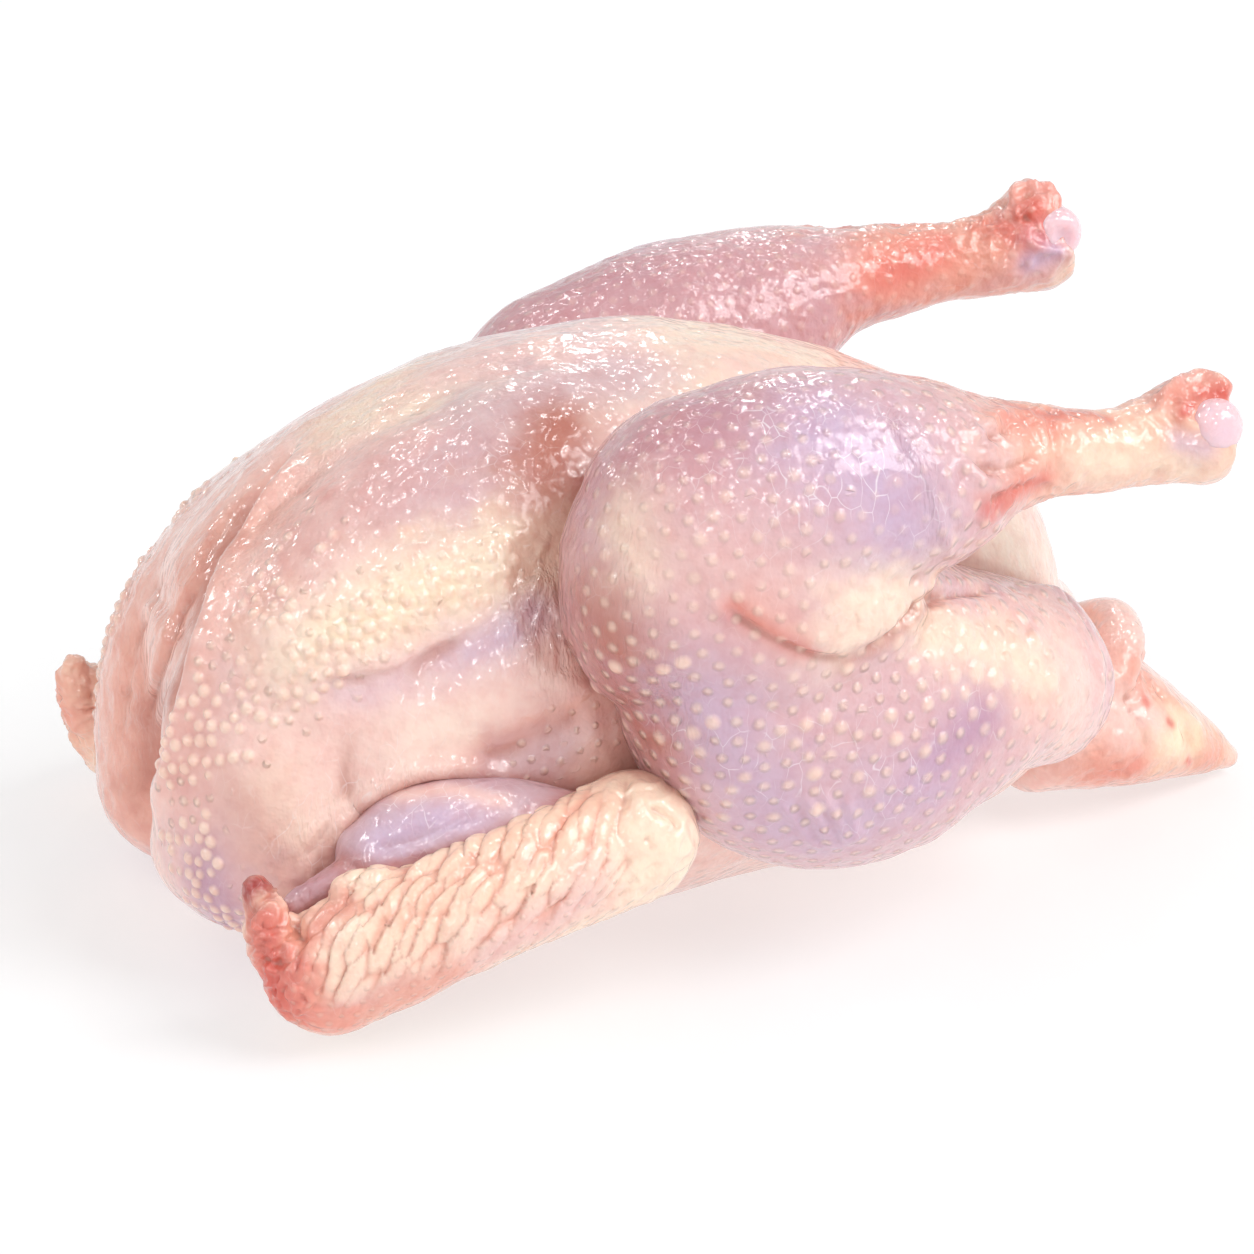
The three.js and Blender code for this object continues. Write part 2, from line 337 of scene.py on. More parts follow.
def apply_modifier(obj, kind, **settings):
    """Adds one modifier with these settings and applies it."""
    select_only(obj)
    modifier = obj.modifiers.new(kind.title(), kind)
    for key, value in settings.items():
        setattr(modifier, key, value)
    bpy.ops.object.modifier_apply(modifier=modifier.name)


def vertex_array(mesh, normals=False):
    """The places or the normals of a mesh's vertices, one row each."""
    values = np.empty(len(mesh.vertices) * 3, np.float32)
    if normals:
        mesh.vertex_normals.foreach_get("vector", values)
    else:
        mesh.vertices.foreach_get("co", values)
    return values.reshape(-1, 3).astype(float)


def tree_of(places):
    """A search tree of places, each with its index."""
    tree = KDTree(len(places))
    for k, place in enumerate(places):
        tree.insert(place, k)
    tree.balance()
    return tree


def pick_vertices(obj, mark):
    """Opens an object in edit mode with only the marked vertices selected."""
    select_only(obj)
    bpy.ops.object.mode_set(mode="EDIT")
    bpy.ops.mesh.select_mode(type="VERT")
    bpy.ops.mesh.select_all(action="DESELECT")
    bpy.ops.object.mode_set(mode="OBJECT")
    obj.data.vertices.foreach_set("select", mark)
    bpy.ops.object.mode_set(mode="EDIT")


def put_vertices(mesh, points):
    """Moves a mesh's vertices to these places."""
    mesh.vertices.foreach_set("co", points.astype(np.float32).ravel())
    mesh.update()


def new_object(name, mesh):
    """An object of this mesh, linked to the scene."""
    obj = bpy.data.objects.new(name, mesh)
    bpy.context.scene.collection.objects.link(obj)
    return obj


# ---------- marks on the surface ----------


TRACE_STEP = 5.0  # picture pixels between the places of a traced line
KNEE_BLEND = 0.15  # how softly marks pass from drumstick to thigh when they are carried across


class Surface:
    """A piece's smooth surface, on which picture marks are traced."""

    def __init__(self, obj):
        self.tree = BVHTree.FromObject(obj, bpy.context.evaluated_depsgraph_get())

    def under_mark(self, px, py):
        """The place on the surface that a picture mark lies on."""
        half = PICTURE_SIDE / 2
        ray = (
            VIEW_RIGHT * ((px - half) / FOCAL_PIXELS) - VIEW_UP * ((py - half) / FOCAL_PIXELS) - VIEW_BACK
        ).normalized()
        hit = self.tree.ray_cast(VIEW_EYE, ray)
        if hit[0] is not None:
            return hit[0]
        place = VIEW_EYE + ray * VIEW_DISTANCE
        for _ in range(6):
            near = self.tree.find_nearest(place)[0]
            place = VIEW_EYE + ray * (near - VIEW_EYE).dot(ray)
        return near

    def trace(self, marks):
        """Close-set places on the surface along a smooth line through picture marks."""
        if len(marks) > 1:
            marks = curve_through(marks, lambda b, c: max(2, int(np.linalg.norm(c - b) / TRACE_STEP)))
        return np.array([self.under_mark(*mark) for mark in marks])

    def snap(self, places):
        return np.array([self.tree.find_nearest(Vector(place))[0] for place in places])


def carried_across(piece, path, surface):
    """A path on a right-hand piece, or the body, carried over to the bird's left side."""
    mm = path / MM
    if piece == "leg_left":
        drum, thigh = (nearness(path, ring)[0] for ring in WORK["rings"]["leg_right"][:2])
        share = smooth_step(-KNEE_BLEND, KNEE_BLEND, thigh - drum)[:, None]
        posed = left_leg_pose(mm - (FRAME_SHIFT_X, 0, 0)) + (FRAME_SHIFT_X, 0, 0)
        mm = (share * posed + (1 - share) * (mm + LEFT_THIGH_SHIFT)) * (1, -1, 1)
    elif piece in ("wing_left", "arm_left"):
        mm = mm * (1, -1, 1) + LEFT_WING_SHIFT
    else:
        mm = mm * (1, -1, 1)
    return surface.snap(mm * MM)[::-1]


def paths_on(piece, side, marks):
    """The lines on a piece that one row of marks stands for."""
    surfaces = WORK["surfaces"]
    paths = []
    if piece.endswith("left"):
        if side == "both":
            path = surfaces[piece.replace("left", "right")].trace(marks)
            paths.append(carried_across(piece, path, surfaces[piece]))
        elif side == "left":
            paths.append(surfaces[piece].trace(marks))
    elif side != "left" or piece in ("body", "tail"):
        path = surfaces[piece].trace(marks)
        paths.append(path)
        if side == "both" and piece in ("body", "tail"):
            paths.append(carried_across(piece, path, surfaces[piece]))
    return paths


def along_path(points, normals, path, reach):
    """For points within reach of a path: their index, distance, share along it, and signed distance to its side."""
    low, high = path.min(0) - reach, path.max(0) + reach
    index = np.nonzero(((points > low) & (points < high)).all(1))[0]
    if not len(index):
        return index, index, index, index
    if len(path) == 1:
        gap = np.linalg.norm(points[index] - path[0], axis=1)
        keep = gap < reach
        return index[keep], gap[keep], np.full(keep.sum(), 0.5), gap[keep]
    start, step = path[:-1], np.diff(path, axis=0)
    keep_step = np.linalg.norm(step, axis=1) > 1e-7
    start, step = start[keep_step], step[keep_step]
    length = np.linalg.norm(step, axis=1)
    best = np.full(len(index), np.inf)
    share = np.zeros(len(index))
    side = np.zeros(len(index))
    done = 0.0
    p, n = points[index], normals[index]
    for a, ab, size in zip(start, step, length):
        rel = p - a
        t = np.clip(rel @ ab / size**2, 0, 1)
        away = rel - t[:, None] * ab
        gap = np.linalg.norm(away, axis=1)
        closer = gap < best
        best[closer] = gap[closer]
        share[closer] = (done + t[closer] * size) / length.sum()
        side[closer] = np.einsum("ij,ij->i", np.cross(ab / size, n[closer]), away[closer])
        done += size
    keep = best < reach
    return index[keep], best[keep], share[keep], side[keep]


# ---------- shapes pressed into each piece: side, kind, width mm, height mm, marks ----------
# A negative height is a hollow. "both" is repeated on the bird's left side, "right", "left" and "one" are not.

SHAPES = {
    "body": (
        # the cleft between the two lobes of the breast, and folds of loose skin beside it
        (
            "one", "line", 2.2, -3.2,
            ((157, 800), (172, 730), (184, 680), (200, 630),
             (220, 580), (248, 520), (275, 478), (300, 440)),
        ),
        (
            "one", "step", 6.5, 4.0,
            ((153, 830), (160, 780), (174, 720), (185, 680), (201, 630),
             (221, 580), (248, 520), (275, 478), (300, 440)),
        ),
        ("one", "step", 3.5, 0.7, ((206, 560), (182, 605), (160, 665), (148, 725))),
        ("one", "line", 1.6, -0.8, ((206, 560), (182, 605), (160, 665), (148, 725))),
        ("one", "line", 2.4, 0.9, ((196, 610), (174, 665), (162, 720), (152, 770))),
        ("one", "line", 2.0, -1.1, ((168, 570), (140, 630), (126, 690), (122, 750))),
        ("one", "line", 1.6, -0.8, ((236, 500), (214, 535), (196, 575))),
        # the band of fat along the flank
        ("both", "line", 9.0, 1.9, ((250, 680), (310, 645), (370, 608), (430, 583), (500, 560), (543, 552))),
        ("both", "line", 3.0, 0.8, ((300, 690), (335, 666), (394, 657), (428, 638), (474, 616), (505, 598))),
        ("both", "step", 3.5, -0.6, ((300, 700), (335, 676), (394, 666), (430, 648), (476, 627), (505, 608))),
        ("both", "line", 2.0, 0.5, ((394, 558), (447, 542), (501, 536), (548, 532))),
        ("both", "line", 2.2, -0.6, ((385, 546), (440, 531), (500, 525), (545, 521))),
        # ribs, and the skin drawn from them to the knee
        ("both", "blob", 17.0, 1.3, ((430, 722), (510, 705))),
        ("both", "line", 1.4, 0.9, ((555, 672), (575, 684), (592, 694))),
        ("both", "line", 4.0, -1.4, ((470, 765), (520, 745), (560, 725), (590, 708))),
        ("both", "line", 0.9, 0.9, ((544, 562), (535, 590), (515, 625), (505, 650))),
        ("both", "line", 0.8, 0.8, ((548, 572), (543, 600), (534, 630), (530, 655))),
        ("both", "line", 0.9, 0.9, ((552, 580), (552, 610), (549, 640), (552, 672))),
        ("both", "line", 0.8, 0.8, ((556, 600), (562, 635), (568, 665), (575, 690))),
        ("both", "line", 0.8, 0.7, ((540, 575), (520, 600), (495, 622), (465, 640))),
        ("both", "line", 0.8, 0.6, ((548, 540), (538, 556), (528, 566))),
        # the skin folded back from the upper arm
        (
            "both", "line", 1.9, 1.4,
            ((326, 860), (338, 830), (362, 800), (398, 772),
             (447, 762), (492, 768), (535, 785)),
        ),
        ("both", "step", 5.0, -1.3, ((340, 868), (364, 815), (402, 788), (447, 778), (484, 784), (525, 798))),
        ("both", "line", 1.2, 0.6, ((300, 850), (322, 822), (350, 796))),
    ),
    "leg": (
        # the crease between drumstick and thigh, and stretched skin
        ("both", "step", 5.0, -0.9, ((722, 600), (755, 626), (790, 645), (825, 656), (850, 657))),
        ("both", "line", 1.8, -0.7, ((728, 604), (755, 626), (790, 645), (825, 656), (850, 657))),
        ("both", "line", 1.0, -1.0, ((780, 642), (812, 653), (840, 658))),
        ("both", "line", 1.5, -2.0, ((846, 657), (876, 642), (905, 618), (925, 602), (960, 592), (1000, 588))),
        ("both", "line", 1.4, 0.8, ((889, 419), (910, 445), (928, 480), (939, 516), (946, 545), (953, 560))),
        ("both", "line", 1.2, 0.6, ((905, 415), (925, 445), (945, 482), (955, 520))),
        ("both", "blob", 9.0, 1.6, ((880, 622), (835, 630))),
        ("both", "line", 1.6, 0.8, ((700, 590), (735, 622), (775, 645), (815, 668))),
        ("both", "line", 1.5, -0.5, ((632, 652), (655, 690), (690, 730), (730, 760))),
        ("right", "line", 2.6, 1.2, ((1020, 592), (1055, 594), (1078, 617), (1095, 652), (1100, 692), (1092, 722))),
        ("both", "line", 1.4, -0.9, ((965, 455), (990, 470), (1015, 466), (1040, 455))),
        ("both", "line", 1.5, 0.9, ((960, 462), (985, 482), (1012, 480), (1045, 470))),
        ("both", "line", 1.4, -1.0, ((985, 505), (1010, 490), (1035, 478))),
        ("both", "line", 1.4, 0.9, ((965, 440), (985, 425), (1005, 408))),
        ("both", "line", 1.3, -0.7, ((970, 450), (992, 438), (1015, 425))),
        # folds at the foot of the thigh
        ("both", "line", 1.2, 0.9, ((803, 794), (820, 822), (838, 850))),
        ("both", "line", 1.2, 0.9, ((820, 790), (836, 815), (850, 845))),
        ("both", "line", 1.1, 0.8, ((845, 792), (852, 818), (858, 842))),
        ("both", "line", 1.1, 0.7, ((780, 800), (800, 828), (822, 850))),
        # the hocks: a socket for the knuckle, with a rim of skin and a heel
        ("right", "blob", 5.0, -3.2, ((1216, 413),)),
        ("right", "line", 1.5, 1.8, ((1160, 403), (1176, 387), (1197, 377), (1215, 381), (1228, 392))),
        ("right", "line", 1.2, 1.0, ((1166, 411), (1190, 423), (1212, 430), (1236, 441))),
        ("right", "line", 1.0, -0.9, ((1168, 402), (1186, 400), (1202, 392))),
        ("left", "blob", 5.0, -3.2, ((1062, 226),)),
        ("left", "line", 1.5, 1.8, ((1008, 206), (1022, 189), (1045, 182), (1068, 188), (1083, 206))),
        ("left", "line", 1.2, 1.0, ((1018, 236), (1040, 246), (1062, 254), (1084, 252))),
        ("left", "line", 1.1, -1.2, ((1020, 214), (1034, 222), (1040, 236))),
        ("both", "blob", 6.0, 0.9, ((1218, 466),)),
    ),
    "wing": (
        ("both", "line", 1.3, -1.3, ((626, 772), (624, 800), (618, 825), (617, 850))),
        ("both", "line", 0.9, -0.9, ((648, 806), (662, 812), (675, 822), (681, 834))),
        ("both", "blob", 6.0, -0.8, ((625, 882),)),
        ("both", "blob", 1.2, -0.9, ((647, 840),)),
        ("both", "blob", 1.1, -0.8, ((652, 848),)),
        ("both", "line", 1.4, -2.2, ((288, 902), (299, 926), (303, 950))),
        ("both", "line", 1.3, -1.0, ((262, 958), (272, 952), (280, 964))),
        ("both", "line", 1.2, -0.8, ((258, 925), (270, 930), (282, 922))),
    ),
    "arm": (
        ("both", "line", 1.4, 0.6, ((362, 868), (400, 856), (440, 842), (480, 822))),
        ("both", "line", 1.2, -0.7, ((372, 850), (410, 842), (450, 826), (490, 806))),
    ),
    "tail": (
        ("one", "line", 1.6, -1.0, ((1120, 668), (1128, 700), (1140, 728), (1150, 760))),
        ("one", "line", 1.4, -0.7, ((1176, 722), (1190, 742), (1195, 768))),
        ("one", "line", 1.8, 0.8, ((1160, 690), (1185, 712), (1205, 735))),
        ("one", "blob", 5.0, 0.8, ((1204, 748),)),
    ),
}


# ---------- feather bumps: side, spacing mm, radius mm, height share, reach mm, marks ----------

BUMP_BASE = {
    "body": (6.0, 1.1, 0.12),
    "leg": (4.8, 1.7, 0.8),
    "wing": (4.0, 0.9, 0.1),
    "arm": (6.0, 1.0, 0.0),
    "tail": (5.0, 1.0, 0.15),
}
BUMP_PLACES = {
    "body": (
        ("both", 2.9, 1.4, 1.4, 7, ((185, 730), (182, 800), (197, 870), (225, 920))),
        ("both", 2.9, 1.4, 1.4, 8, ((225, 680), (235, 735))),
        ("both", 3.6, 1.2, 0.15, 10, ((290, 540), (330, 480), (370, 420))),
        ("both", 2.9, 1.4, 1.3, 8, ((268, 625), (262, 690), (320, 650), (375, 612))),
        ("both", 2.9, 1.4, 0.7, 6, ((400, 610), (450, 588), (500, 566))),
        ("both", 3.8, 1.2, 0.8, 7, ((540, 760), (580, 740))),
    ),
    "leg": (
        ("both", 4.4, 1.5, 0.35, 12, ((640, 430), (700, 395), (760, 380))),
        ("both", 5.0, 1.3, 0.12, 5, ((572, 520), (566, 600), (592, 690))),
        ("both", 5.6, 1.6, 0.3, 10, ((870, 430), (910, 500))),
        ("both", 4.5, 1.8, 1.15, 16, ((640, 700), (700, 760), (800, 770), (900, 720))),
        ("both", 4.4, 2.0, 0.6, 7, ((850, 610), (900, 620), (960, 640))),
        ("both", 6.0, 2.6, 0.9, 9, ((1000, 680), (1040, 660))),
        ("both", 3.6, 1.2, 0.1, 12, ((1020, 450), (1080, 440), (1150, 440), (1210, 440))),
        ("right", 6.0, 1.5, 0.3, 8, ((1080, 650), (1085, 710))),
        ("left", 4.4, 1.4, 0.3, 22, ((540, 310), (640, 280), (740, 280), (830, 290), (920, 270), (1040, 230))),
    ),
    "wing": (("both", 3.2, 1.0, 0.4, 8, ((600, 900), (500, 950), (400, 1000), (320, 1020))),),
    "arm": (),
    "tail": (),
}

# rows of bumps standing side by side: side, spacing mm, radius mm, height share, marks
BUMP_ROWS = {
    "body": (
        (
            "both", 3.2, 1.4, 1.5,
            ((291, 578), (275, 605), (262, 623), (251, 643),
             (242, 660), (231, 678), (219, 699), (209, 714)),
        ),
        ("both", 3.1, 1.4, 1.5, ((340, 577), (314, 603), (302, 622), (285, 638), (265, 659), (256, 678), (241, 694))),
        ("both", 3.1, 1.4, 1.4, ((385, 572), (348, 605), (332, 624), (314, 642), (301, 656), (278, 678))),
        ("both", 3.0, 1.4, 1.4, ((190, 728), (203, 725), (215, 726), (227, 727), (240, 729))),
        ("both", 3.0, 1.4, 1.4, ((175, 757), (187, 758), (201, 762), (212, 762), (229, 758), (248, 756))),
        ("both", 3.0, 1.4, 1.4, ((166, 801), (173, 801), (184, 801), (194, 803), (209, 798))),
        ("both", 3.0, 1.4, 1.3, ((163, 835), (174, 838), (186, 840), (200, 838))),
        ("both", 3.0, 1.4, 1.2, ((172, 868), (184, 872), (197, 874), (212, 872))),
        ("both", 3.0, 1.4, 1.1, ((186, 900), (198, 905), (212, 908), (226, 908))),
        ("both", 3.2, 1.4, 0.8, ((318, 500), (292, 530), (268, 562), (250, 592), (236, 618))),
        ("both", 3.2, 1.4, 0.7, ((345, 520), (318, 552), (296, 578))),
    ),
}

# ---------- where a finish shows: side, share, reach mm, marks ----------

MASKS = {
    "cobble": {
        "body": (
            ("both", 1.0, 7, ((250, 690), (310, 650), (370, 615), (430, 600))),
            ("both", 0.5, 6, ((450, 580), (500, 562), (535, 552))),
        ),
        "leg": (("both", 0.5, 5, ((860, 610), (900, 612), (960, 640))),),
    },
    "stretch": {
        "leg": (
            ("both", 1.0, 7, ((590, 470), (575, 530), (578, 600), (600, 670), (625, 730))),
            ("both", 0.9, 7, ((610, 540), (625, 600), (650, 670), (690, 740))),
            ("both", 0.7, 4, ((895, 425), (930, 480), (945, 540))),
        ),
        "body": (
            ("both", 0.45, 9, ((240, 590), (310, 480), (380, 400))),
            ("one", 0.5, 10, ((130, 740), (140, 640), (200, 540))),
            ("both", 1.0, 6, ((540, 590), (530, 640), (560, 660))),
            ("both", 0.6, 5, ((300, 840), (350, 800), (420, 775))),
        ),
    },
    # pale lines: painted highlight along fine wrinkles, partly pale fascia
    "web": {
        "leg": (
            ("both", 1.0, 16, ((760, 430), (830, 470), (880, 480))),
            ("both", 0.7, 14, ((960, 740), (860, 780), (700, 760))),
        ),
        "body": (("both", 0.5, 10, ((300, 850), (400, 760))), ("both", 0.5, 12, ((470, 450),))),
        "arm": (("both", 0.9, 8, ((400, 810), (460, 800))),),
    },
}

# ---------- crumpled skin: side, height mm, size mm, reach mm, marks ----------

CRUMPLES = {
    "body": (
        ("both", 0.7, 4.0, 8, ((345, 850), (300, 880), (335, 880))),
        ("both", 0.4, 3.0, 9, ((540, 620), (560, 680), (520, 650))),
        ("one", 0.6, 6.0, 20, ((110, 680), (120, 760))),
    ),
    "leg": (
        ("both", 1.1, 4.0, 8, ((985, 440), (975, 490), (1000, 515))),
        ("both", 0.9, 3.2, 9, ((1030, 440), (1060, 480), (1040, 410))),
        ("both", 0.6, 3.4, 8, ((1100, 430), (1140, 470), (1150, 420))),
        ("both", 0.7, 3.0, 8, ((1150, 400), (1195, 400), (1205, 450), (1160, 470))),
        ("left", 0.4, 3.0, 20, ((620, 270), (760, 280), (880, 270))),
        ("left", 0.9, 3.0, 9, ((1000, 215), (1035, 200), (1060, 262), (1010, 262))),
        ("both", 0.5, 3.5, 8, ((910, 600), (880, 625))),
    ),
    "wing": (
        ("both", 1.6, 2.4, 8, ((262, 915), (270, 960), (285, 995))),
        ("left", 2.0, 4.2, 10, ((75, 690), (80, 725))),
        ("both", 0.8, 2.4, 4, ((355, 885), (405, 880))),
        ("both", 0.6, 3.5, 9, ((660, 800), (680, 850), (640, 890))),
    ),
    "arm": (("both", 0.6, 2.5, 5, ((300, 882), (345, 882))),),
    "tail": (("one", 0.7, 3.5, 12, ((1140, 680), (1120, 760))),),
}


STEP_EDGE = 0.0005  # how sharply a step rises
REACH_OF = {"blob": 2.0, "line": 2.6, "step": 2.6}  # how far a shape is pressed, in its own widths
BLOB_FALL = 1.4
TAPER_IN, TAPER_OUT = (-0.02, 0.18), (1.02, 0.8)  # shares of its length over which a line starts and ends


class Clay:
    """Points and normals of a mesh that is being shaped."""

    def __init__(self, obj):
        self.obj = obj
        self.read()

    def read(self):
        self.points = vertex_array(self.obj.data)
        self.normals = vertex_array(self.obj.data, normals=True)

    def write(self):
        put_vertices(self.obj.data, self.points)
        self.read()

    def press(self, path, kind, width, height):
        """Raises or hollows the surface along a path; a step raises its right-hand side and lowers the other."""
        index, gap, share, side = along_path(self.points, self.normals, path, width * REACH_OF[kind])
        if not len(index):
            return
        swell = np.exp(-((gap / width) ** 2) * (BLOB_FALL if kind == "blob" else 1.0))
        if kind == "step":
            swell *= np.tanh(side / STEP_EDGE)
        if len(path) > 1 and kind != "blob":
            swell *= smooth_step(*TAPER_IN, share) * smooth_step(*TAPER_OUT, share)
        self.points[index] += self.normals[index] * (height * swell)[:, None]


def press_shapes(clay, piece):
    for side, kind, width, height, marks in SHAPES[piece.split("_")[0]]:
        for path in paths_on(piece, side, marks):
            clay.press(path, kind, width * MM, height * MM)
    clay.write()


CREASE_SHARE = 0.6  # how much of a crumple's height its creases take
DRIFT_SIZE, DRIFT_REACH, DRIFT_SEED = 1.7, 0.8, 40  # how creases wander, in the crumple's own size
FINE_FOLD_SIZE, FOLD_SEED = 0.45, 11


def crumple_skin(clay, piece):
    """Creased, lumpy skin where the bird's skin is gathered."""
    for side, height, size, reach, marks in CRUMPLES[piece.split("_")[0]]:
        for path in paths_on(piece, side, marks):
            index, gap, _, _ = along_path(clay.points, clay.normals, path, reach * 2 * MM)
            places = clay.points[index]
            drift = np.stack([cloud(places, size * DRIFT_SIZE * MM, DRIFT_SEED + k) for k in range(3)], axis=1)
            bend = places + DRIFT_REACH * size * MM * drift
            folds, fine = cloud(bend, size * MM, FOLD_SEED), cloud(bend, size * FINE_FOLD_SIZE * MM, FOLD_SEED + 1)
            creased = 1 - 2.2 * np.abs(folds) + 0.5 * np.abs(fine)
            swell = np.exp(-((gap / (reach * MM)) ** 2)) * creased * height * MM * CREASE_SHARE
            clay.points[index] += clay.normals[index] * swell[:, None]
    clay.write()


PACKING = 0.8  # how close chosen places may be at first, against their spacing when spread
SPREAD_ROUNDS = 10
SPREAD_ROOM = 1.08  # how far apart neighbours are pushed, against their spacing
SPREAD_STEP = 0.3
PLACE_FADE = (1.6, 0.7)  # shares of its reach over which a kind of bump takes over from the base kind
ROW_CLEARANCE = 0.8  # how far scattered bumps stay from a row, against the row's spacing
PLACE_SEED, SIZE_SEED = 7, 5


def feather_bumps(clay, piece):
    """Where the raised feather bumps stand, and each one's radius and height share."""
    family = piece.split("_")[0]
    spacing, radius, share = (np.full(len(clay.points), value) for value in BUMP_BASE[family])
    for side, near_spacing, near_radius, near_share, reach, marks in BUMP_PLACES[family]:
        for path in paths_on(piece, side, marks):
            index, gap, _, _ = along_path(clay.points, clay.normals, path, reach * 2.2 * MM)
            weight = smooth_step(*PLACE_FADE, gap / (reach * MM))
            for field, value in ((spacing, near_spacing), (radius, near_radius), (share, near_share)):
                field[index] += (value - field[index]) * weight
    chosen = scatter(clay.points, spacing * MM * PACKING, PLACE_SEED)
    places = spread_evenly(clay.points[chosen], spacing[chosen] * MM, Surface(clay.obj))
    rng = np.random.default_rng(SIZE_SEED)
    size = radius[chosen] * MM * rng.uniform(0.85, 1.15, len(chosen))
    height = share[chosen]
    for side, gap, row_radius, row_share, marks in BUMP_ROWS.get(family, ()):
        for path in paths_on(piece, side, marks):
            run = np.concatenate([[0], np.cumsum(np.linalg.norm(np.diff(path, axis=0), axis=1))])
            stops = np.linspace(0, run[-1], max(2, int(run[-1] / (gap * MM)) + 1))
            row = np.stack([np.interp(stops, run, path[:, k]) for k in range(3)], axis=1)
            clear = np.linalg.norm(places[:, None] - row, axis=2).min(1) > gap * MM * ROW_CLEARANCE
            places = np.vstack([places[clear], row])
            size = np.concatenate([size[clear], row_radius * MM * rng.uniform(0.9, 1.1, len(row))])
            height = np.concatenate([height[clear], np.full(len(row), row_share)])
    tree = tree_of(places)
    gaps = np.array([tree.find_n(place, 2)[1][2] for place in places])
    return places, size, height, gaps


def spread_evenly(places, spacing, surface):
    """Pushes places on a surface apart until they stand in even rows."""
    places = places.copy()
    for _ in range(SPREAD_ROUNDS):
        tree = tree_of(places)
        near = np.array([[found[1] for found in tree.find_n(place, 7)[1:]] for place in places])
        away = places[:, None] - places[near]
        gap = np.maximum(np.linalg.norm(away, axis=2), 1e-6)
        push = np.clip(spacing[:, None] * SPREAD_ROOM - gap, 0, None) / gap
        places = surface.snap(places + SPREAD_STEP * (away * push[:, :, None]).sum(1))
    return places


FOREARM_RADIUS = 12.5
PAD_PITCH = (4.5, 6.3)  # mm between pads along and round the forearm
PAD_LEAN = 0.95
PAD_SPREAD = 0.62  # how much of its pitch a pad fills
PAD_SINK = 0.55
PAD_OVERLAP = 0.7  # how much each pad rises towards the next one, which it overlaps
PAD_HEIGHT = 1.1  # mm
DRIFT_ALONG = (1.3, 0.012, 25)  # how the rows of pads wander: mm, size and seed
DRIFT_ROUND = (1.5, 0.010, 26)
PADS_BEGIN = (17, 27)  # mm from the elbow over which the pads fade in
PADS_END = (2, 16)  # mm from the wing tip over which they fade out
PADS_UNDER, PADS_OVER = (-0.6, 0.25), (3.3, 2.9)  # angles round the forearm over which they fade
PAD_REST = 0.25


def forearm_relief(points, rings):
    """The overlapping soft pads in slanting rows along the forearm, and how strongly they show."""
    near, which = nearness(points, rings)
    middle, tangent, across, up = rings[:4]
    run = np.concatenate([[0], np.cumsum(np.linalg.norm(np.diff(middle, axis=0), axis=1))])
    rel = points - middle[which]
    along = (run[which] + np.einsum("ij,ij->i", rel, tangent[which])) / MM
    turn = np.arctan2(np.einsum("ij,ij->i", rel, up[which]), np.einsum("ij,ij->i", rel, across[which]))
    outer = -np.sign(middle[0, 1])
    if outer < 0:
        turn = np.where(turn > 0, math.pi - turn, -math.pi - turn)
    round_mm = turn * FOREARM_RADIUS
    along = clouds(points, (DRIFT_ALONG,), along)
    round_mm = clouds(points, (DRIFT_ROUND,), round_mm)
    u = (along + PAD_LEAN * round_mm) / PAD_PITCH[0]
    best = np.full(len(u), np.inf)
    seed = np.zeros(len(u))
    tilt = np.zeros(len(u))
    for di in (-1, 0, 1):
        column = np.floor(u).astype(np.int64) + di
        v = round_mm / PAD_PITCH[1] + 0.5 * (column % 2)
        for dj in (-1, 0, 1):
            row = np.floor(v).astype(np.int64) + dj
            zero = np.zeros_like(row)
            cu = column + 0.5 + 0.28 * lattice_value(column, row, zero, 21)
            cv = row + 0.5 + 0.3 * lattice_value(column, row, zero, 22)
            gap = np.hypot((u - cu) / PAD_SPREAD, (v - cv) / PAD_SPREAD)
            closer = gap < best
            best[closer] = gap[closer]
            seed[closer] = lattice_value(column, row, zero, 23)[closer]
            tilt[closer] = (u - cu)[closer]
    pad = np.sqrt(np.clip(1 - best**2 * 0.72, 0, 1)) * (1 + 0.35 * seed + PAD_OVERLAP * np.clip(tilt, -0.5, 0.5))
    length = run[-1] / MM
    ends = smooth_step(*PADS_BEGIN, along) * smooth_step(length - PADS_END[0], length - PADS_END[1], along)
    mask = ends * (near < 1.35)
    mask *= smooth_step(*PADS_UNDER, turn) * smooth_step(*PADS_OVER, turn) + PAD_REST
    return pad, mask


# ---------- the flesh ----------


class ChickenSizes(bpy.types.PropertyGroup):
    """Sizes of the bird's skin."""

    smoothing: bpy.props.IntProperty(
        name="Smoothing", description="How often the joins between limbs are smoothed", default=16
    )
    most_faces: bpy.props.IntProperty(
        name="Most Faces", description="Most triangles that one piece may have", default=190000
    )
    bump_height: bpy.props.FloatProperty(
        name="Bump Height", description="Height of one raised feather bump", default=0.0007, unit="LENGTH"
    )


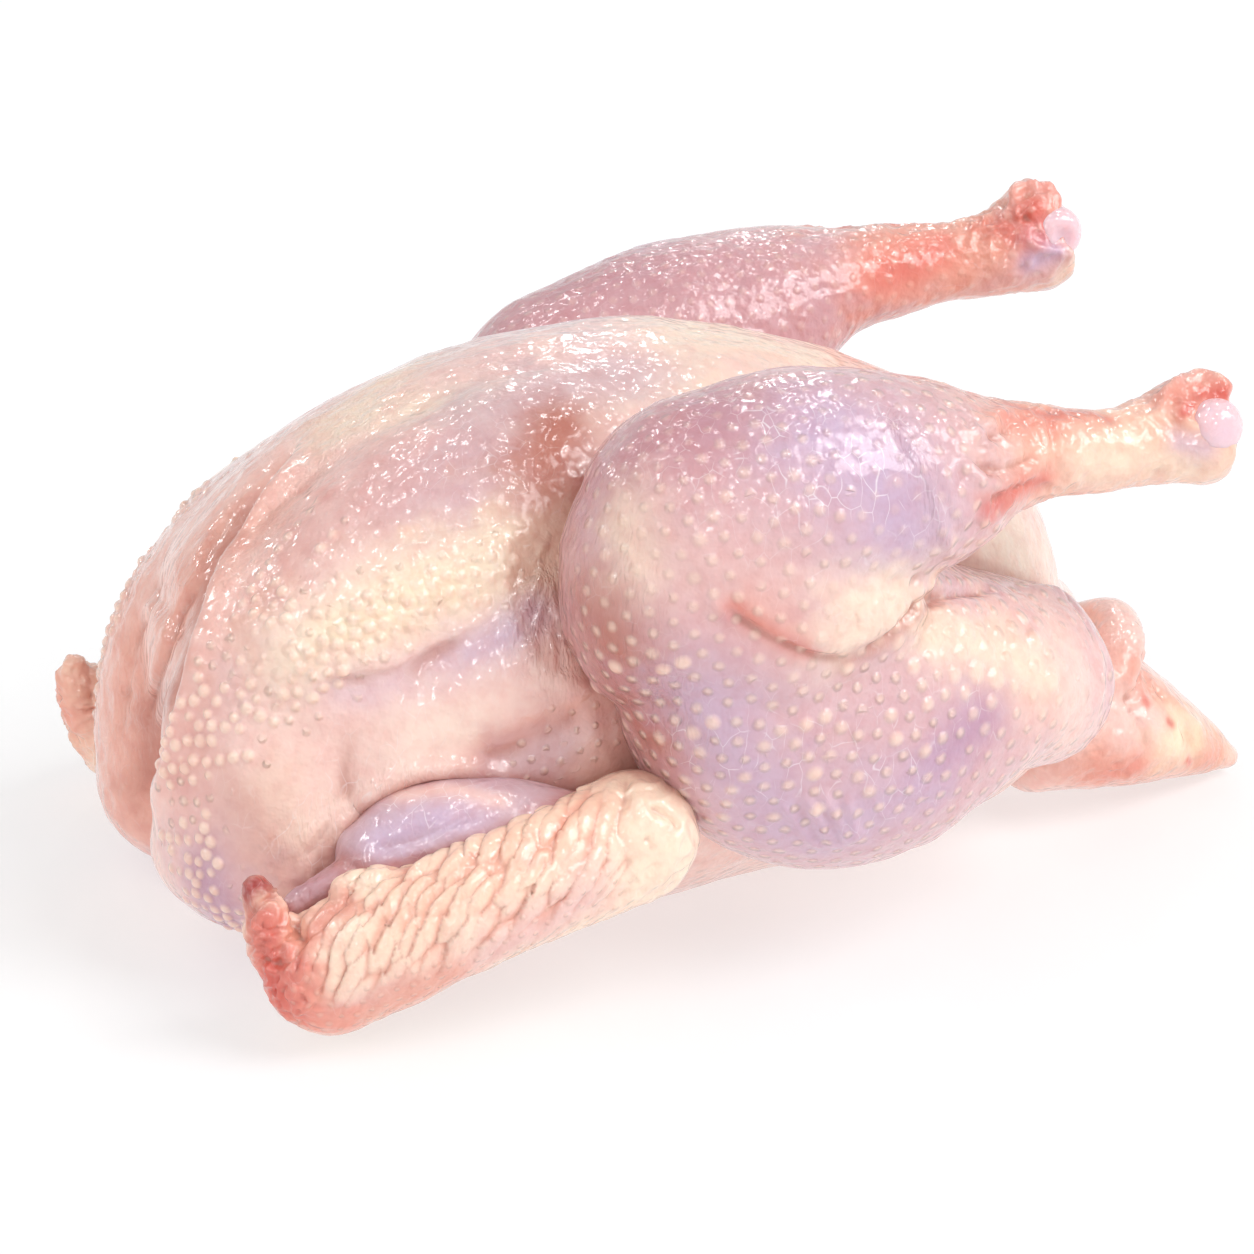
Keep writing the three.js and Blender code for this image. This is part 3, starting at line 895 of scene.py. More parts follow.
def make_flesh(name, grain, smoothing):
    """One closed, even skin round all limbs of a piece."""
    points, faces = [], []
    turn = np.linspace(0, 2 * math.pi, RING_POINTS, endpoint=False)
    for middle, _, across, up, wide, high in WORK["rings"][name]:
        first = len(points)
        ring = (
            middle[:, None]
            + across[:, None] * (wide[:, None] * np.cos(turn))[:, :, None]
            + up[:, None] * (high[:, None] * np.sin(turn))[:, :, None]
        )
        points.extend(ring.reshape(-1, 3).tolist())
        for k in range(len(middle) - 1):
            for j in range(RING_POINTS):
                a, b = first + k * RING_POINTS + j, first + k * RING_POINTS + (j + 1) % RING_POINTS
                faces.append((a, b, b + RING_POINTS, a + RING_POINTS))
        last = first + (len(middle) - 1) * RING_POINTS
        faces.append(tuple(range(first, first + RING_POINTS))[::-1])
        faces.append(tuple(range(last, last + RING_POINTS)))
    mesh = bpy.data.meshes.new(name)
    mesh.from_pydata(points, [], faces)
    flesh = new_object(name, mesh)
    apply_modifier(flesh, "REMESH", mode="VOXEL", voxel_size=grain)
    keep_outer(flesh)
    apply_modifier(flesh, "SMOOTH", iterations=smoothing, factor=0.5)
    return flesh


def keep_outer(obj):
    """Leaves only the shell that holds the highest point, without the small ones inside it."""
    mark = np.zeros(len(obj.data.vertices), bool)
    mark[vertex_array(obj.data)[:, 2].argmax()] = True
    pick_vertices(obj, mark)
    bpy.ops.mesh.select_linked()
    bpy.ops.mesh.select_all(action="INVERT")
    bpy.ops.mesh.delete(type="VERT")
    bpy.ops.object.mode_set(mode="OBJECT")


# ---------- feather bumps ----------


NEIGHBOUR_CELLS = tuple((x, y, z) for x in (-1, 0, 1) for y in (-1, 0, 1) for z in (-1, 0, 1))


def scatter(points, spacing, seed):
    """Evenly spread places among points, each no nearer its neighbours than the local spacing."""
    order = np.random.default_rng(seed).permutation(len(points))[: len(points) // 2]
    cell = float(spacing.max())
    grid = {}
    chosen = []
    for k in order:
        p, gap = points[k], spacing[k]
        key = (int(p[0] // cell), int(p[1] // cell), int(p[2] // cell))
        near = any(
            (p[0] - q[0]) ** 2 + (p[1] - q[1]) ** 2 + (p[2] - q[2]) ** 2 < gap * gap
            for step in NEIGHBOUR_CELLS
            for q in grid.get((key[0] + step[0], key[1] + step[1], key[2] + step[2]), ())
        )
        if not near:
            grid.setdefault(key, []).append(p)
            chosen.append(k)
    return np.array(chosen)


def nearest_of(points, places):
    """The nearest place to each point, and how far it is."""
    tree = tree_of(places)
    found = [tree.find(point)[1:] for point in points]
    return np.array([index for index, _ in found]), np.array([gap for _, gap in found])


# ---------- colours ----------


def from_display(red, green, blue):
    """A display colour of 0 to 255 as the linear colour that the shaders use."""
    return tuple(((v / 255 + 0.055) / 1.055) ** 2.4 if v > 10.3 else v / 255 / 12.92 for v in (red, green, blue))


def tint(name, description, *display):
    return bpy.props.FloatVectorProperty(
        name=name, description=description, default=from_display(*display), subtype="COLOR", min=0, max=1
    )


class ChickenColours(bpy.types.PropertyGroup):
    """Colours of the bird's skin, fat, flesh and gristle, and the shade painted into its folds."""

    cream: tint("Cream", "Fat under thin skin", 254, 228, 204)
    pale_cream: tint("Pale Cream", "Fat where the skin is stretched", 254, 234, 216)
    yellow_cream: tint("Yellow Cream", "Thick fat", 255, 228, 192)
    pale_pink: tint("Pale Pink", "Skin over breast and belly", 249, 210, 199)
    pink: tint("Pink", "Skin over flesh", 238, 194, 188)
    peach: tint("Peach", "Fat over the forearm", 252, 202, 176)
    salmon: tint("Salmon", "Flushed skin", 234, 160, 138)
    rose: tint("Rose", "Skin over dark leg flesh", 196, 136, 144)
    mauve: tint("Mauve", "Leg skin", 222, 180, 184)
    lilac: tint("Lilac", "Skin over leg muscle", 204, 176, 203)
    grey_lilac: tint("Grey Lilac", "Thin skin over muscle", 210, 178, 186)
    purple: tint("Purple", "Darker leg muscle", 190, 148, 174)
    blush: tint("Blush", "Reddened skin", 238, 146, 128)
    red: tint("Red", "Blood under the skin", 218, 94, 80)
    dark_red: tint("Dark Red", "Clotted blood", 168, 48, 42)
    # painted shade: laid in folds and hollows, beside neighbouring pieces and where the leg shades the breast
    shade: tint("Shade", "Skin in a fold", 186, 112, 94)
    gristle: tint("Gristle", "Knuckle", 248, 206, 212)
    gristle_shade: tint("Gristle Shade", "Thin places in the knuckle", 240, 206, 218)
    dome: tint("Dome", "Tip of a feather bump", 252, 220, 200)


PIECE_TINT = {
    "body": "pale_pink",
    "leg_right": "mauve",
    "leg_left": "mauve",
    "wing_right": "cream",
    "wing_left": "cream",
    "arm_right": "grey_lilac",
    "arm_left": "grey_lilac",
    "tail": "pale_pink",
}

# side, tint, reach mm, strength, marks
WASHES = {
    "body": (
        ("both", "pink", 30, 0.9, ((420, 430), (470, 470))),
        ("both", "pink", 11, 0.9, ((262, 620), (215, 690), (190, 760), (195, 860), (225, 920))),
        ("both", "cream", 9, 0.8, ((330, 420), (420, 360), (520, 325), (620, 315), (720, 335), (820, 360))),
        ("both", "grey_lilac", 14, 0.8, ((500, 410), (560, 390), (620, 375))),
        # darker pink breast beside the knee, partly painted shadow of the knee
        ("both", "rose", 16, 0.45, ((400, 500), (480, 480), (540, 470))),
        ("both", "rose", 9, 0.35, ((300, 540), (305, 580))),
        ("both", "grey_lilac", 12, 0.6, ((490, 470), (450, 520))),
        ("both", "cream", 11, 0.95, ((300, 655), (370, 608), (430, 585), (500, 562), (540, 552))),
        ("both", "yellow_cream", 8, 0.6, ((340, 640), (420, 600), (480, 575), (530, 556))),
        ("both", "lilac", 6, 0.8, ((345, 700), (400, 690), (450, 668), (500, 638), (530, 612))),
        ("both", "pale_pink", 12, 0.9, ((330, 730), (420, 730), (500, 715))),
        ("both", "pale_cream", 7, 0.5, ((420, 735), (470, 725))),
        ("both", "salmon", 5, 0.6, ((480, 755), (530, 735), (575, 715))),
        ("both", "grey_lilac", 8, 0.7, ((500, 770), (560, 750))),
        ("both", "cream", 7, 0.4, ((270, 790), (300, 830))),
        ("both", "shade", 8, 0.35, ((240, 800), (262, 850))),
        ("both", "salmon", 7, 0.3, ((190, 720), (180, 800))),
        # partly the skin's purplish tone, partly painted shade low on the near lobe
        ("both", "purple", 10, 0.8, ((205, 880), (240, 950))),
        ("one", "salmon", 24, 0.75, ((220, 540), (160, 620), (125, 720), (150, 780))),
        ("one", "shade", 6, 0.75, ((150, 775), (160, 720), (178, 668), (198, 612), (222, 550), (248, 508))),
        ("one", "red", 1.6, 0.35, ((157, 800), (172, 730), (184, 680), (200, 630), (225, 570), (260, 500))),
        # painted shade in the gap between the upper arm and the forearm, partly the red of blood there
        ("both", "dark_red", 3, 0.8, ((300, 908), (318, 898), (348, 897))),
        ("both", "shade", 9, 1.0, ((560, 425), (550, 455), (552, 490))),
        ("both", "cream", 7, 0.95, ((500, 562), (535, 548), (575, 532))),
        # the far rump's cream fat, brightened further as painted light where the near leg shades it
        ("one", "pale_cream", 14, 1.0, ((1005, 545), (1022, 575))),
    ),
    "leg": (
        ("both", "shade", 5, 0.45, ((557, 560), (563, 620), (585, 690), (618, 755), (660, 800))),
        ("both", "shade", 11, 0.9, ((600, 610), (622, 665), (655, 740))),
        ("both", "rose", 14, 0.9, ((660, 440), (620, 480), (700, 420))),
        ("both", "rose", 9, 0.5, ((720, 400), (770, 396))),
        ("both", "lilac", 14, 0.9, ((820, 430), (880, 470), (900, 530))),
        ("both", "cream", 7, 0.8, ((625, 530), (640, 560))),
        ("both", "pink", 12, 0.7, ((700, 560), (760, 590))),
        ("both", "cream", 8, 0.9, ((850, 605), (900, 600), (840, 635))),
        ("both", "peach", 10, 0.5, ((1000, 670), (1060, 700))),
        ("both", "red", 2.0, 0.7, ((736, 606), (756, 622), (780, 638), (812, 651))),
        ("both", "salmon", 6, 0.5, ((745, 612), (780, 632))),
        ("both", "cream", 8, 0.9, ((930, 625), (980, 645), (1040, 665))),
        ("both", "purple", 8, 0.9, ((940, 760), (980, 720))),
        ("both", "lilac", 12, 0.7, ((900, 800), (800, 830), (700, 700))),
        ("both", "pale_pink", 10, 0.9, ((1050, 615), (1080, 680), (1070, 740))),
        ("both", "peach", 20, 1.0, ((1060, 440), (1120, 440), (1160, 440), (1210, 440))),
        ("both", "red", 3.5, 0.75, ((990, 508), (1015, 492), (1035, 482), (1065, 474))),
        ("both", "blush", 5, 0.8, ((1005, 418), (1040, 425), (1070, 420))),
        ("both", "red", 2, 0.6, ((1010, 405), (1045, 415), (1075, 412), (1108, 420))),
        ("both", "cream", 6, 0.7, ((1080, 468), (1150, 462), (1200, 475))),
        ("both", "shade", 3, 0.5, ((850, 660), (878, 644), (908, 620), (935, 600))),
        ("right", "blush", 4, 0.8, ((1165, 400), (1190, 388), (1220, 388))),
        ("right", "red", 2.2, 1.0, ((1184, 414), (1196, 402), (1212, 394), (1226, 394))),
        ("right", "lilac", 3, 0.6, ((1180, 442), (1205, 448))),
        # the far rump's cream fat, brightened further as painted light where the near leg shades it
        ("left", "yellow_cream", 16, 1.0, ((1005, 545), (1022, 575))),
        ("left", "rose", 24, 0.6, ((560, 290), (640, 270), (740, 270), (830, 280))),
        ("left", "salmon", 13, 0.95, ((900, 265), (960, 250), (1010, 240))),
        ("left", "blush", 6, 0.9, ((870, 275), (917, 264), (935, 245))),
        ("left", "red", 4, 0.45, ((880, 272), (915, 264), (940, 250))),
        ("left", "red", 5, 0.7, ((1020, 215), (1030, 235), (1000, 225))),
        ("left", "red", 2.4, 1.0, ((1036, 205), (1042, 222), (1046, 240))),
        ("left", "lilac", 4, 0.9, ((1030, 262), (1055, 252))),
        ("left", "blush", 5, 0.8, ((1040, 183), (1070, 190), (1085, 215))),
        ("left", "cream", 4, 0.7, ((1060, 280), (1085, 262))),
    ),
    "wing": (
        ("both", "peach", 9, 0.75, ((400, 910), (500, 865), (600, 820))),
        ("both", "pink", 7, 0.9, ((330, 1020), (430, 985), (530, 930), (600, 890))),
        ("both", "salmon", 6, 0.8, ((290, 1010), (330, 1025), (380, 1010), (450, 975))),
        ("both", "blush", 9, 0.95, ((280, 990), (300, 1010))),
        ("both", "red", 6, 0.9, ((266, 925), (275, 985))),
        ("both", "red", 5, 0.5, ((300, 985), (285, 1005))),
        ("both", "red", 4, 0.6, ((300, 960), (322, 920), (345, 905))),
        ("both", "dark_red", 3.0, 1.0, ((248, 892), (255, 884), (268, 882))),
        ("both", "cream", 8, 0.7, ((660, 830), (640, 870))),
        ("left", "peach", 16, 0.9, ((75, 690), (80, 725))),
        ("left", "blush", 5, 0.6, ((60, 690), (70, 715))),
    ),
    "arm": (
        ("both", "lilac", 6, 0.8, ((380, 840), (430, 820), (480, 805))),
        ("both", "pale_pink", 3, 0.8, ((400, 795), (450, 790), (500, 800))),
        ("both", "purple", 4, 0.6, ((300, 884), (345, 878))),
        ("both", "shade", 3, 0.6, ((345, 862), (360, 870))),
        ("both", "shade", 4, 0.4, ((310, 886), (335, 880))),
    ),
    "tail": (
        ("one", "salmon", 9, 0.9, ((1100, 770), (1150, 780))),
        ("one", "blush", 4, 0.7, ((1105, 775), (1135, 765))),
        ("one", "salmon", 6, 0.8, ((1135, 670), (1160, 695), (1180, 705))),
        ("one", "yellow_cream", 8, 0.95, ((1180, 735), (1215, 750))),
        ("one", "salmon", 9, 1.0, ((1236, 768), (1228, 770))),
        ("one", "red", 1.3, 0.8, ((1168, 722), (1171, 725))),
        ("one", "red", 1.2, 0.8, ((1188, 760), (1190, 763))),
        ("one", "red", 1.4, 0.7, ((1144, 700), (1146, 704))),
    ),
}

NEAR_PIECES = {
    "body": ("leg_right", "leg_left", "arm_right", "arm_left"),
    "leg_right": ("body",),
    "leg_left": ("body",),
    "wing_right": ("body", "leg_right"),
    "wing_left": ("body", "leg_left"),
    "arm_right": ("body", "wing_right"),
    "arm_left": ("body", "wing_left"),
    "tail": ("leg_right", "leg_left"),
}
SHADE_BESIDE_REACH = 1.5  # mm from a neighbour over which painted shade is laid on skin in a fold
SHADE_BESIDE_SHARE = 0.45
HOLLOW_DEPTHS = (0.15, 0.8)  # mm below its surroundings at which the painted shade in hollows starts and ends
HOLLOW_SHADE_SHARE = 0.55
HOLLOW_ROUNDS = 60
WASH_REACH = 2.4  # how far a wash is laid, in its own reaches
WASH_WOBBLE = ((0.35, 0.006, 3), (0.2, 0.0023, 4))  # unevenness of a wash's edge: share, size and seed


def beside_neighbours(points, piece):
    """How close each point is to another piece's limbs, from 0 to 1."""
    near = np.zeros(len(points))
    for other in NEAR_PIECES[piece]:
        for rings in WORK["rings"][other]:
            gap, which = nearness(points, rings)
            size = np.minimum(rings[4], rings[5])[which]
            near = np.maximum(near, np.exp(-((np.clip(gap - 1, 0, None) * size / (SHADE_BESIDE_REACH * MM)) ** 2)))
    return near


def hollowness(mesh, points, normals):
    """How far each point lies below its wider surroundings, from 0 to 1."""
    ends = np.empty(len(mesh.edges) * 2, np.int32)
    mesh.edges.foreach_get("vertices", ends)
    a, b = np.concatenate([ends[::2], ends[1::2]]), np.concatenate([ends[1::2], ends[::2]])
    count = np.bincount(a, minlength=len(points))[:, None]
    smooth = points.copy()
    for _ in range(HOLLOW_ROUNDS):
        total = np.stack([np.bincount(a, smooth[b, k], len(points)) for k in range(3)], axis=1)
        smooth = 0.5 * smooth + 0.5 * total / count
    depth = np.einsum("ij,ij->i", smooth - points, normals) / MM
    return smooth_step(*HOLLOW_DEPTHS, depth)


def laid_over(tints, colour, share):
    """Tints with one colour laid over them, by its share at each point."""
    share = share[:, None]
    return tints * (1 - share) + np.array(colour) * share


def paint(mesh, points, normals, piece, colours):
    """The skin's tint at each point: the piece's own, then each wash, then painted shade beside neighbouring pieces
    and in hollows.
    """
    tints = np.tile(getattr(colours, PIECE_TINT[piece]), (len(points), 1))

    wobble = clouds(points, WASH_WOBBLE, 1)
    for side, name, reach, strength, marks in WASHES[piece.split("_")[0]]:
        for line in paths_on(piece, side, marks):
            index, gap, _, _ = along_path(points, normals, line, reach * MM * WASH_REACH)
            if len(index):
                share = np.zeros(len(points))
                share[index] = strength * np.exp(-((gap * wobble[index] / (reach * MM)) ** 2))
                tints = laid_over(tints, getattr(colours, name), share)
    # painted shade laid beside neighbouring pieces and in hollows
    tints = laid_over(tints, colours.shade, SHADE_BESIDE_SHARE * beside_neighbours(points, piece))
    return laid_over(tints, colours.shade, HOLLOW_SHADE_SHARE * hollowness(mesh, points, normals))


def mask_field(points, normals, piece, rows):
    """How strongly a finish shows at each point."""
    field = np.zeros(len(points))
    for side, value, reach, marks in rows:
        for line in paths_on(piece, side, marks):
            index, gap, _, _ = along_path(points, normals, line, reach * MM * WASH_REACH)
            field[index] = np.maximum(field[index], value * np.exp(-((gap / (reach * MM)) ** 2)))
    return field


def set_attribute(mesh, name, values, kind="FLOAT"):
    """Stores one value for each vertex, for the finishes to read."""
    attribute = mesh.attributes.new(name, kind, "POINT")
    key = {"FLOAT": "value", "FLOAT_VECTOR": "vector", "FLOAT_COLOR": "color"}[kind]
    if kind == "FLOAT_COLOR":
        values = np.hstack([values, np.ones((len(values), 1))])
    attribute.data.foreach_set(key, np.asarray(values, np.float32).ravel())


# ---------- finishes ----------


class Finish:
    """A material that is being wired."""

    def __init__(self, name):
        self.material = bpy.data.materials.new(name)
        self.material.use_nodes = True
        self.tree = self.material.node_tree
        self.tree.nodes.clear()
        output = self.tree.nodes.new("ShaderNodeOutputMaterial")
        self.shader = self.tree.nodes.new("ShaderNodeBsdfPrincipled")
        self.tree.links.new(self.shader.outputs[0], output.inputs["Surface"])
        self.place = self.add("ShaderNodeTexCoord").outputs["Object"]

    def add(self, kind, **settings):
        node = self.tree.nodes.new(kind)
        for key, value in settings.items():
            setattr(node, key, value)
        return node

    def feed(self, socket, value):
        if isinstance(value, bpy.types.NodeSocket):
            self.tree.links.new(value, socket)
        elif value is not None:
            socket.default_value = value

    def math(self, operation, a, b):
        node = self.add("ShaderNodeMath", operation=operation)
        self.feed(node.inputs[0], a)
        self.feed(node.inputs[1], b)
        return node.outputs[0]

    def times(self, a, b):
        return self.math("MULTIPLY", a, b)

    def plus(self, a, b):
        return self.math("ADD", a, b)

    def vector(self, operation, a, b=None, scale=None):
        node = self.add("ShaderNodeVectorMath", operation=operation)
        self.feed(node.inputs[0], a)
        self.feed(node.inputs[1], b)
        if scale is not None:
            self.feed(node.inputs["Scale"], scale)
        return node.outputs["Value" if operation == "DISTANCE" else "Vector"]

    def noise(self, size, detail=2.0, rough=0.5, place=None):
        node = self.add("ShaderNodeTexNoise")
        self.feed(node.inputs["Vector"], place or self.place)
        node.inputs["Scale"].default_value = 1 / size
        node.inputs["Detail"].default_value = detail
        node.inputs["Roughness"].default_value = rough
        return node.outputs["Fac"]

    def cells(self, size, feature="F1", place=None, jitter=1.0):
        node = self.add("ShaderNodeTexVoronoi", feature=feature)
        self.feed(node.inputs["Vector"], place or self.place)
        node.inputs["Scale"].default_value = 1 / size
        node.inputs["Randomness"].default_value = jitter
        return node.outputs["Distance"]

    def span(self, value, low, high, to_low=0.0, to_high=1.0, kind="SMOOTHSTEP"):
        node = self.add("ShaderNodeMapRange", interpolation_type=kind)
        self.feed(node.inputs["Value"], value)
        self.feed(node.inputs["From Min"], low)
        self.feed(node.inputs["From Max"], high)
        self.feed(node.inputs["To Min"], to_low)
        self.feed(node.inputs["To Max"], to_high)
        return node.outputs["Result"]

    def blend(self, share, a, b, how="MIX"):
        node = self.add("ShaderNodeMix", data_type="RGBA", blend_type=how)
        node.clamp_factor = True
        self.feed(node.inputs[0], share)
        self.feed(node.inputs[6], (*a, 1) if isinstance(a, tuple) else a)
        self.feed(node.inputs[7], (*b, 1) if isinstance(b, tuple) else b)
        return node.outputs[2]

    def painted(self, name, what="Fac"):
        node = self.add("ShaderNodeAttribute", attribute_name=name)
        return node.outputs[what]

    def bump(self, height):
        """The normal of a relief whose height is in metres."""
        node = self.add("ShaderNodeBump")
        node.inputs["Strength"].default_value = 1.0
        node.inputs["Distance"].default_value = 1.0
        self.feed(node.inputs["Height"], height)
        return node.outputs["Normal"]

    def settle(self, values):
        """Sets the shader's own sockets to constant values."""
        for name, value in values.items():
            self.shader.inputs[name].default_value = value


# relief of the wet skin: size across and height, in metres
BROAD = (0.005, 0.0005)
FINE = (0.0013, 0.00024)
STRANDS = (0.0008, 0.0009)
COBBLES = (0.003, 0.0007)
WET = (0.0022, 0.00042)
WARP_SCALE = 260
WARP_REACH = 0.0016
DOME_HEIGHT = 0.8  # height of a sparse bump's dome, as a share of a close-set one's
DOME_SHARE = 0.55
# network of pale lines: painted highlight along fine wrinkles, partly pale fascia
WEB_SIZE = 0.0036
FASCIA_AND_SHEEN_SHARE = 0.5
MOTTLE = (0.95, 0.87, 0.87)
FASCIA_AND_SHEEN_TINT = (0.98, 0.93, 0.96)


def skin_finish(sizes, colours):
    """Wet plucked skin: painted tint, feather bumps, fine crepe and a network of pale lines that is partly painted
    highlight along fine wrinkles and partly pale fascia.
    """
    f = Finish("wet_skin")
    warp = f.add("ShaderNodeTexNoise")
    f.feed(warp.inputs["Vector"], f.place)
    warp.inputs["Scale"].default_value = WARP_SCALE
    warp.inputs["Detail"].default_value = 0
    drift = f.vector("SUBTRACT", warp.outputs["Color"], (0.5, 0.5, 0.5))
    warped = f.vector("ADD", f.place, f.vector("SCALE", drift, scale=WARP_REACH))
    # feather bumps
    centre, far, size = f.painted("bump_at", "Vector"), f.painted("bump_far"), f.painted("bump_size")
    luck = f.add("ShaderNodeTexWhiteNoise")
    f.feed(luck.inputs["Vector"], centre)
    radius = f.times(size, f.span(luck.outputs["Value"], 0, 1, 0.78, 1.0, "LINEAR"))
    spread = f.math("DIVIDE", far, size)
    inside = f.span(spread, 1.3, 1.05)
    shown = f.times(inside, f.painted("bump_share"))
    out = f.math("MAXIMUM", f.math("DIVIDE", f.vector("DISTANCE", f.place, centre), radius), spread)
    dome_height = f.times(f.times(f.span(out, 1.05, 0.2), shown), sizes.bump_height * DOME_HEIGHT)
    dome = f.times(f.times(f.span(out, 1.05, 0.3), inside), f.painted("bump_tint"))
    # crepe under a wet film
    fine = f.noise(FINE[0], 1.0, 0.6)
    wet = f.noise(WET[0], 0.0, 0.5, f.vector("MULTIPLY", warped, (1.0, 1.0, 0.55)))
    broad = f.times(f.noise(BROAD[0], 1.0, 0.5), BROAD[1])
    drawn = f.vector("MULTIPLY", warped, (1.0, 1.0, 0.16))
    strands = f.times(f.noise(STRANDS[0], 1.0, 0.5, drawn), f.painted("stretch"))
    cobble = f.times(f.span(f.cells(COBBLES[0], "F1", jitter=0.6), 0.7, 0.1), f.painted("cobble"))
    crepe = f.plus(f.times(fine, FINE[1]), broad)
    crepe = f.plus(crepe, f.times(strands, STRANDS[1]))
    crepe = f.plus(crepe, f.times(cobble, COBBLES[1]))
    normal = f.bump(f.plus(dome_height, crepe))
    film = f.bump(f.plus(f.plus(broad, f.times(wet, WET[1])), dome_height))
    # colour
    tint = f.painted("tint", "Color")
    mottle = f.span(f.noise(0.004, 2.0, 0.6), 0.35, 0.75)
    mottled = f.blend(mottle, tint, f.blend(1.0, tint, MOTTLE, "MULTIPLY"))
    # pale lines, painted highlight along fine wrinkles and partly pale fascia
    long_way = f.vector("MULTIPLY", warped, (1.0, 1.0, 0.45))
    web = f.span(f.cells(WEB_SIZE, "DISTANCE_TO_EDGE", long_way), 0.03, 0.0)
    web = f.times(web, f.span(f.noise(0.006, 2.0), 0.42, 0.62))
    web = f.times(web, f.plus(f.painted("web"), 0.15))
    mottled = f.blend(f.times(web, FASCIA_AND_SHEEN_SHARE), mottled, FASCIA_AND_SHEEN_TINT)
    f.feed(f.shader.inputs["Base Color"], f.blend(f.times(dome, DOME_SHARE), mottled, tuple(colours.dome)))
    f.feed(f.shader.inputs["Normal"], normal)
    f.feed(f.shader.inputs["Coat Normal"], film)
    f.feed(f.shader.inputs["Roughness"], f.span(f.noise(0.0025, 2.0), 0.3, 0.7, 0.3, 0.5))
    f.settle(
        {
            "Specular IOR Level": 0.25,
            "Subsurface Weight": 0.12,
            "Subsurface Radius": (1.0, 0.4, 0.28),
            "Subsurface Scale": 0.0022,
            "Coat Weight": 1.0,
            "Coat Roughness": 0.17,
        }
    )
    return f.material


def gristle_finish(colours):
    """Shiny pale gristle with a faint pink mottling."""
    f = Finish("wet_gristle")
    shade = f.math("MAXIMUM", f.span(f.noise(0.004, 3.0), 0.45, 0.8), f.times(f.painted("dent"), 0.8))
    colour = f.blend(shade, tuple(colours.gristle), tuple(colours.gristle_shade))
    f.feed(f.shader.inputs["Base Color"], colour)
    f.feed(f.shader.inputs["Normal"], f.bump(f.times(f.noise(0.0022, 3.0), 0.00018)))
    f.feed(f.shader.inputs["Roughness"], f.span(f.noise(0.003, 2.0), 0.3, 0.7, 0.15, 0.32))
    f.settle(
        {
            "Subsurface Weight": 0.4,
            "Subsurface Radius": (1.0, 0.6, 0.55),
            "Subsurface Scale": 0.003,
            "Coat Weight": 0.6,
            "Coat Roughness": 0.08,
        }
    )
    return f.material


FLOOR_TINTS = ((0.42, 0.425, 0.43), (0.45, 0.452, 0.455))
FLOOR_GLOW = 0.54


def floor_finish():
    """A plain pale floor that glows a little, so that shadows on it stay soft."""
    f = Finish("pale_floor")
    f.feed(f.shader.inputs["Base Color"], f.blend(f.span(f.noise(0.05, 3.0), 0.2, 0.8), *FLOOR_TINTS))
    f.settle({"Roughness": 0.7, "Emission Color": (1, 1, 1, 1), "Emission Strength": FLOOR_GLOW})
    return f.material


# ---------- operators ----------

WORK = {"surfaces": {}}  # what the steps share: limb rings, smooth surfaces and the skin's finish
# size of the faces of each kind of piece, in metres
BODY_GRAIN = 0.00078
LEG_GRAIN = 0.00062
WING_GRAIN = 0.00045
ARM_GRAIN = 0.0006
TAIL_GRAIN = 0.0006
SMOOTHING_GRAIN = 0.0008  # size of the faces at which the joins are smoothed as often as the sizes say
LUMPS = ((0.0005, 0.011, 1), (0.0002, 0.004, 2))  # soft unevenness all over: height, size and seed
CLOSE_GAP = 0.45  # mm between two bumps at which they stop being close-set
CLOSE_SHARE = 0.35  # close-set bumps at least this strong are shaped on finer faces
CLOSE_REACHES = (1.5, 1.45)  # bump radii within which faces are kept, and then split
KEPT_WEIGHT = 0.1  # how much faces on close-set bumps are thinned, against others
FACES_PER_SPLIT = 6  # triangles that splitting adds at each marked vertex
HIGHEST_CAP = 2.0
PAD_GROOVE_SHARE = 0.6
TIP_SHARE = 0.75


def on_close_bumps(points, places, radius, close, reach):
    """Which points lie on a close-set bump, and which of these on the bird's right."""
    near, far = nearest_of(points, places)
    fine = (close[near] > CLOSE_SHARE) & (far < reach * radius[near])
    return fine, fine & (places[near, 1] * RIGHT > 0)


def thin_out(obj, kept, extra, most_faces):
    """Thins a piece to its most faces less some extra ones, but hardly where it is marked as kept."""
    count = 2 * len(obj.data.polygons)
    if count + extra <= most_faces:
        return
    group = obj.vertex_groups.new(name="plain")
    for chosen, weight in ((~kept, 1.0), (kept, KEPT_WEIGHT)):
        group.add(np.nonzero(chosen)[0].tolist(), weight, "REPLACE")
    ratio = (most_faces - extra) / count
    apply_modifier(obj, "DECIMATE", ratio=ratio, vertex_group="plain", vertex_group_factor=1.0)
    obj.vertex_groups.clear()


def split_faces(obj, mark):
    """Splits the faces between marked vertices."""
    pick_vertices(obj, mark)
    bpy.ops.mesh.select_mode(type="FACE")
    bpy.ops.mesh.subdivide(number_cuts=1, smoothness=0.0)
    bpy.ops.object.mode_set(mode="OBJECT")


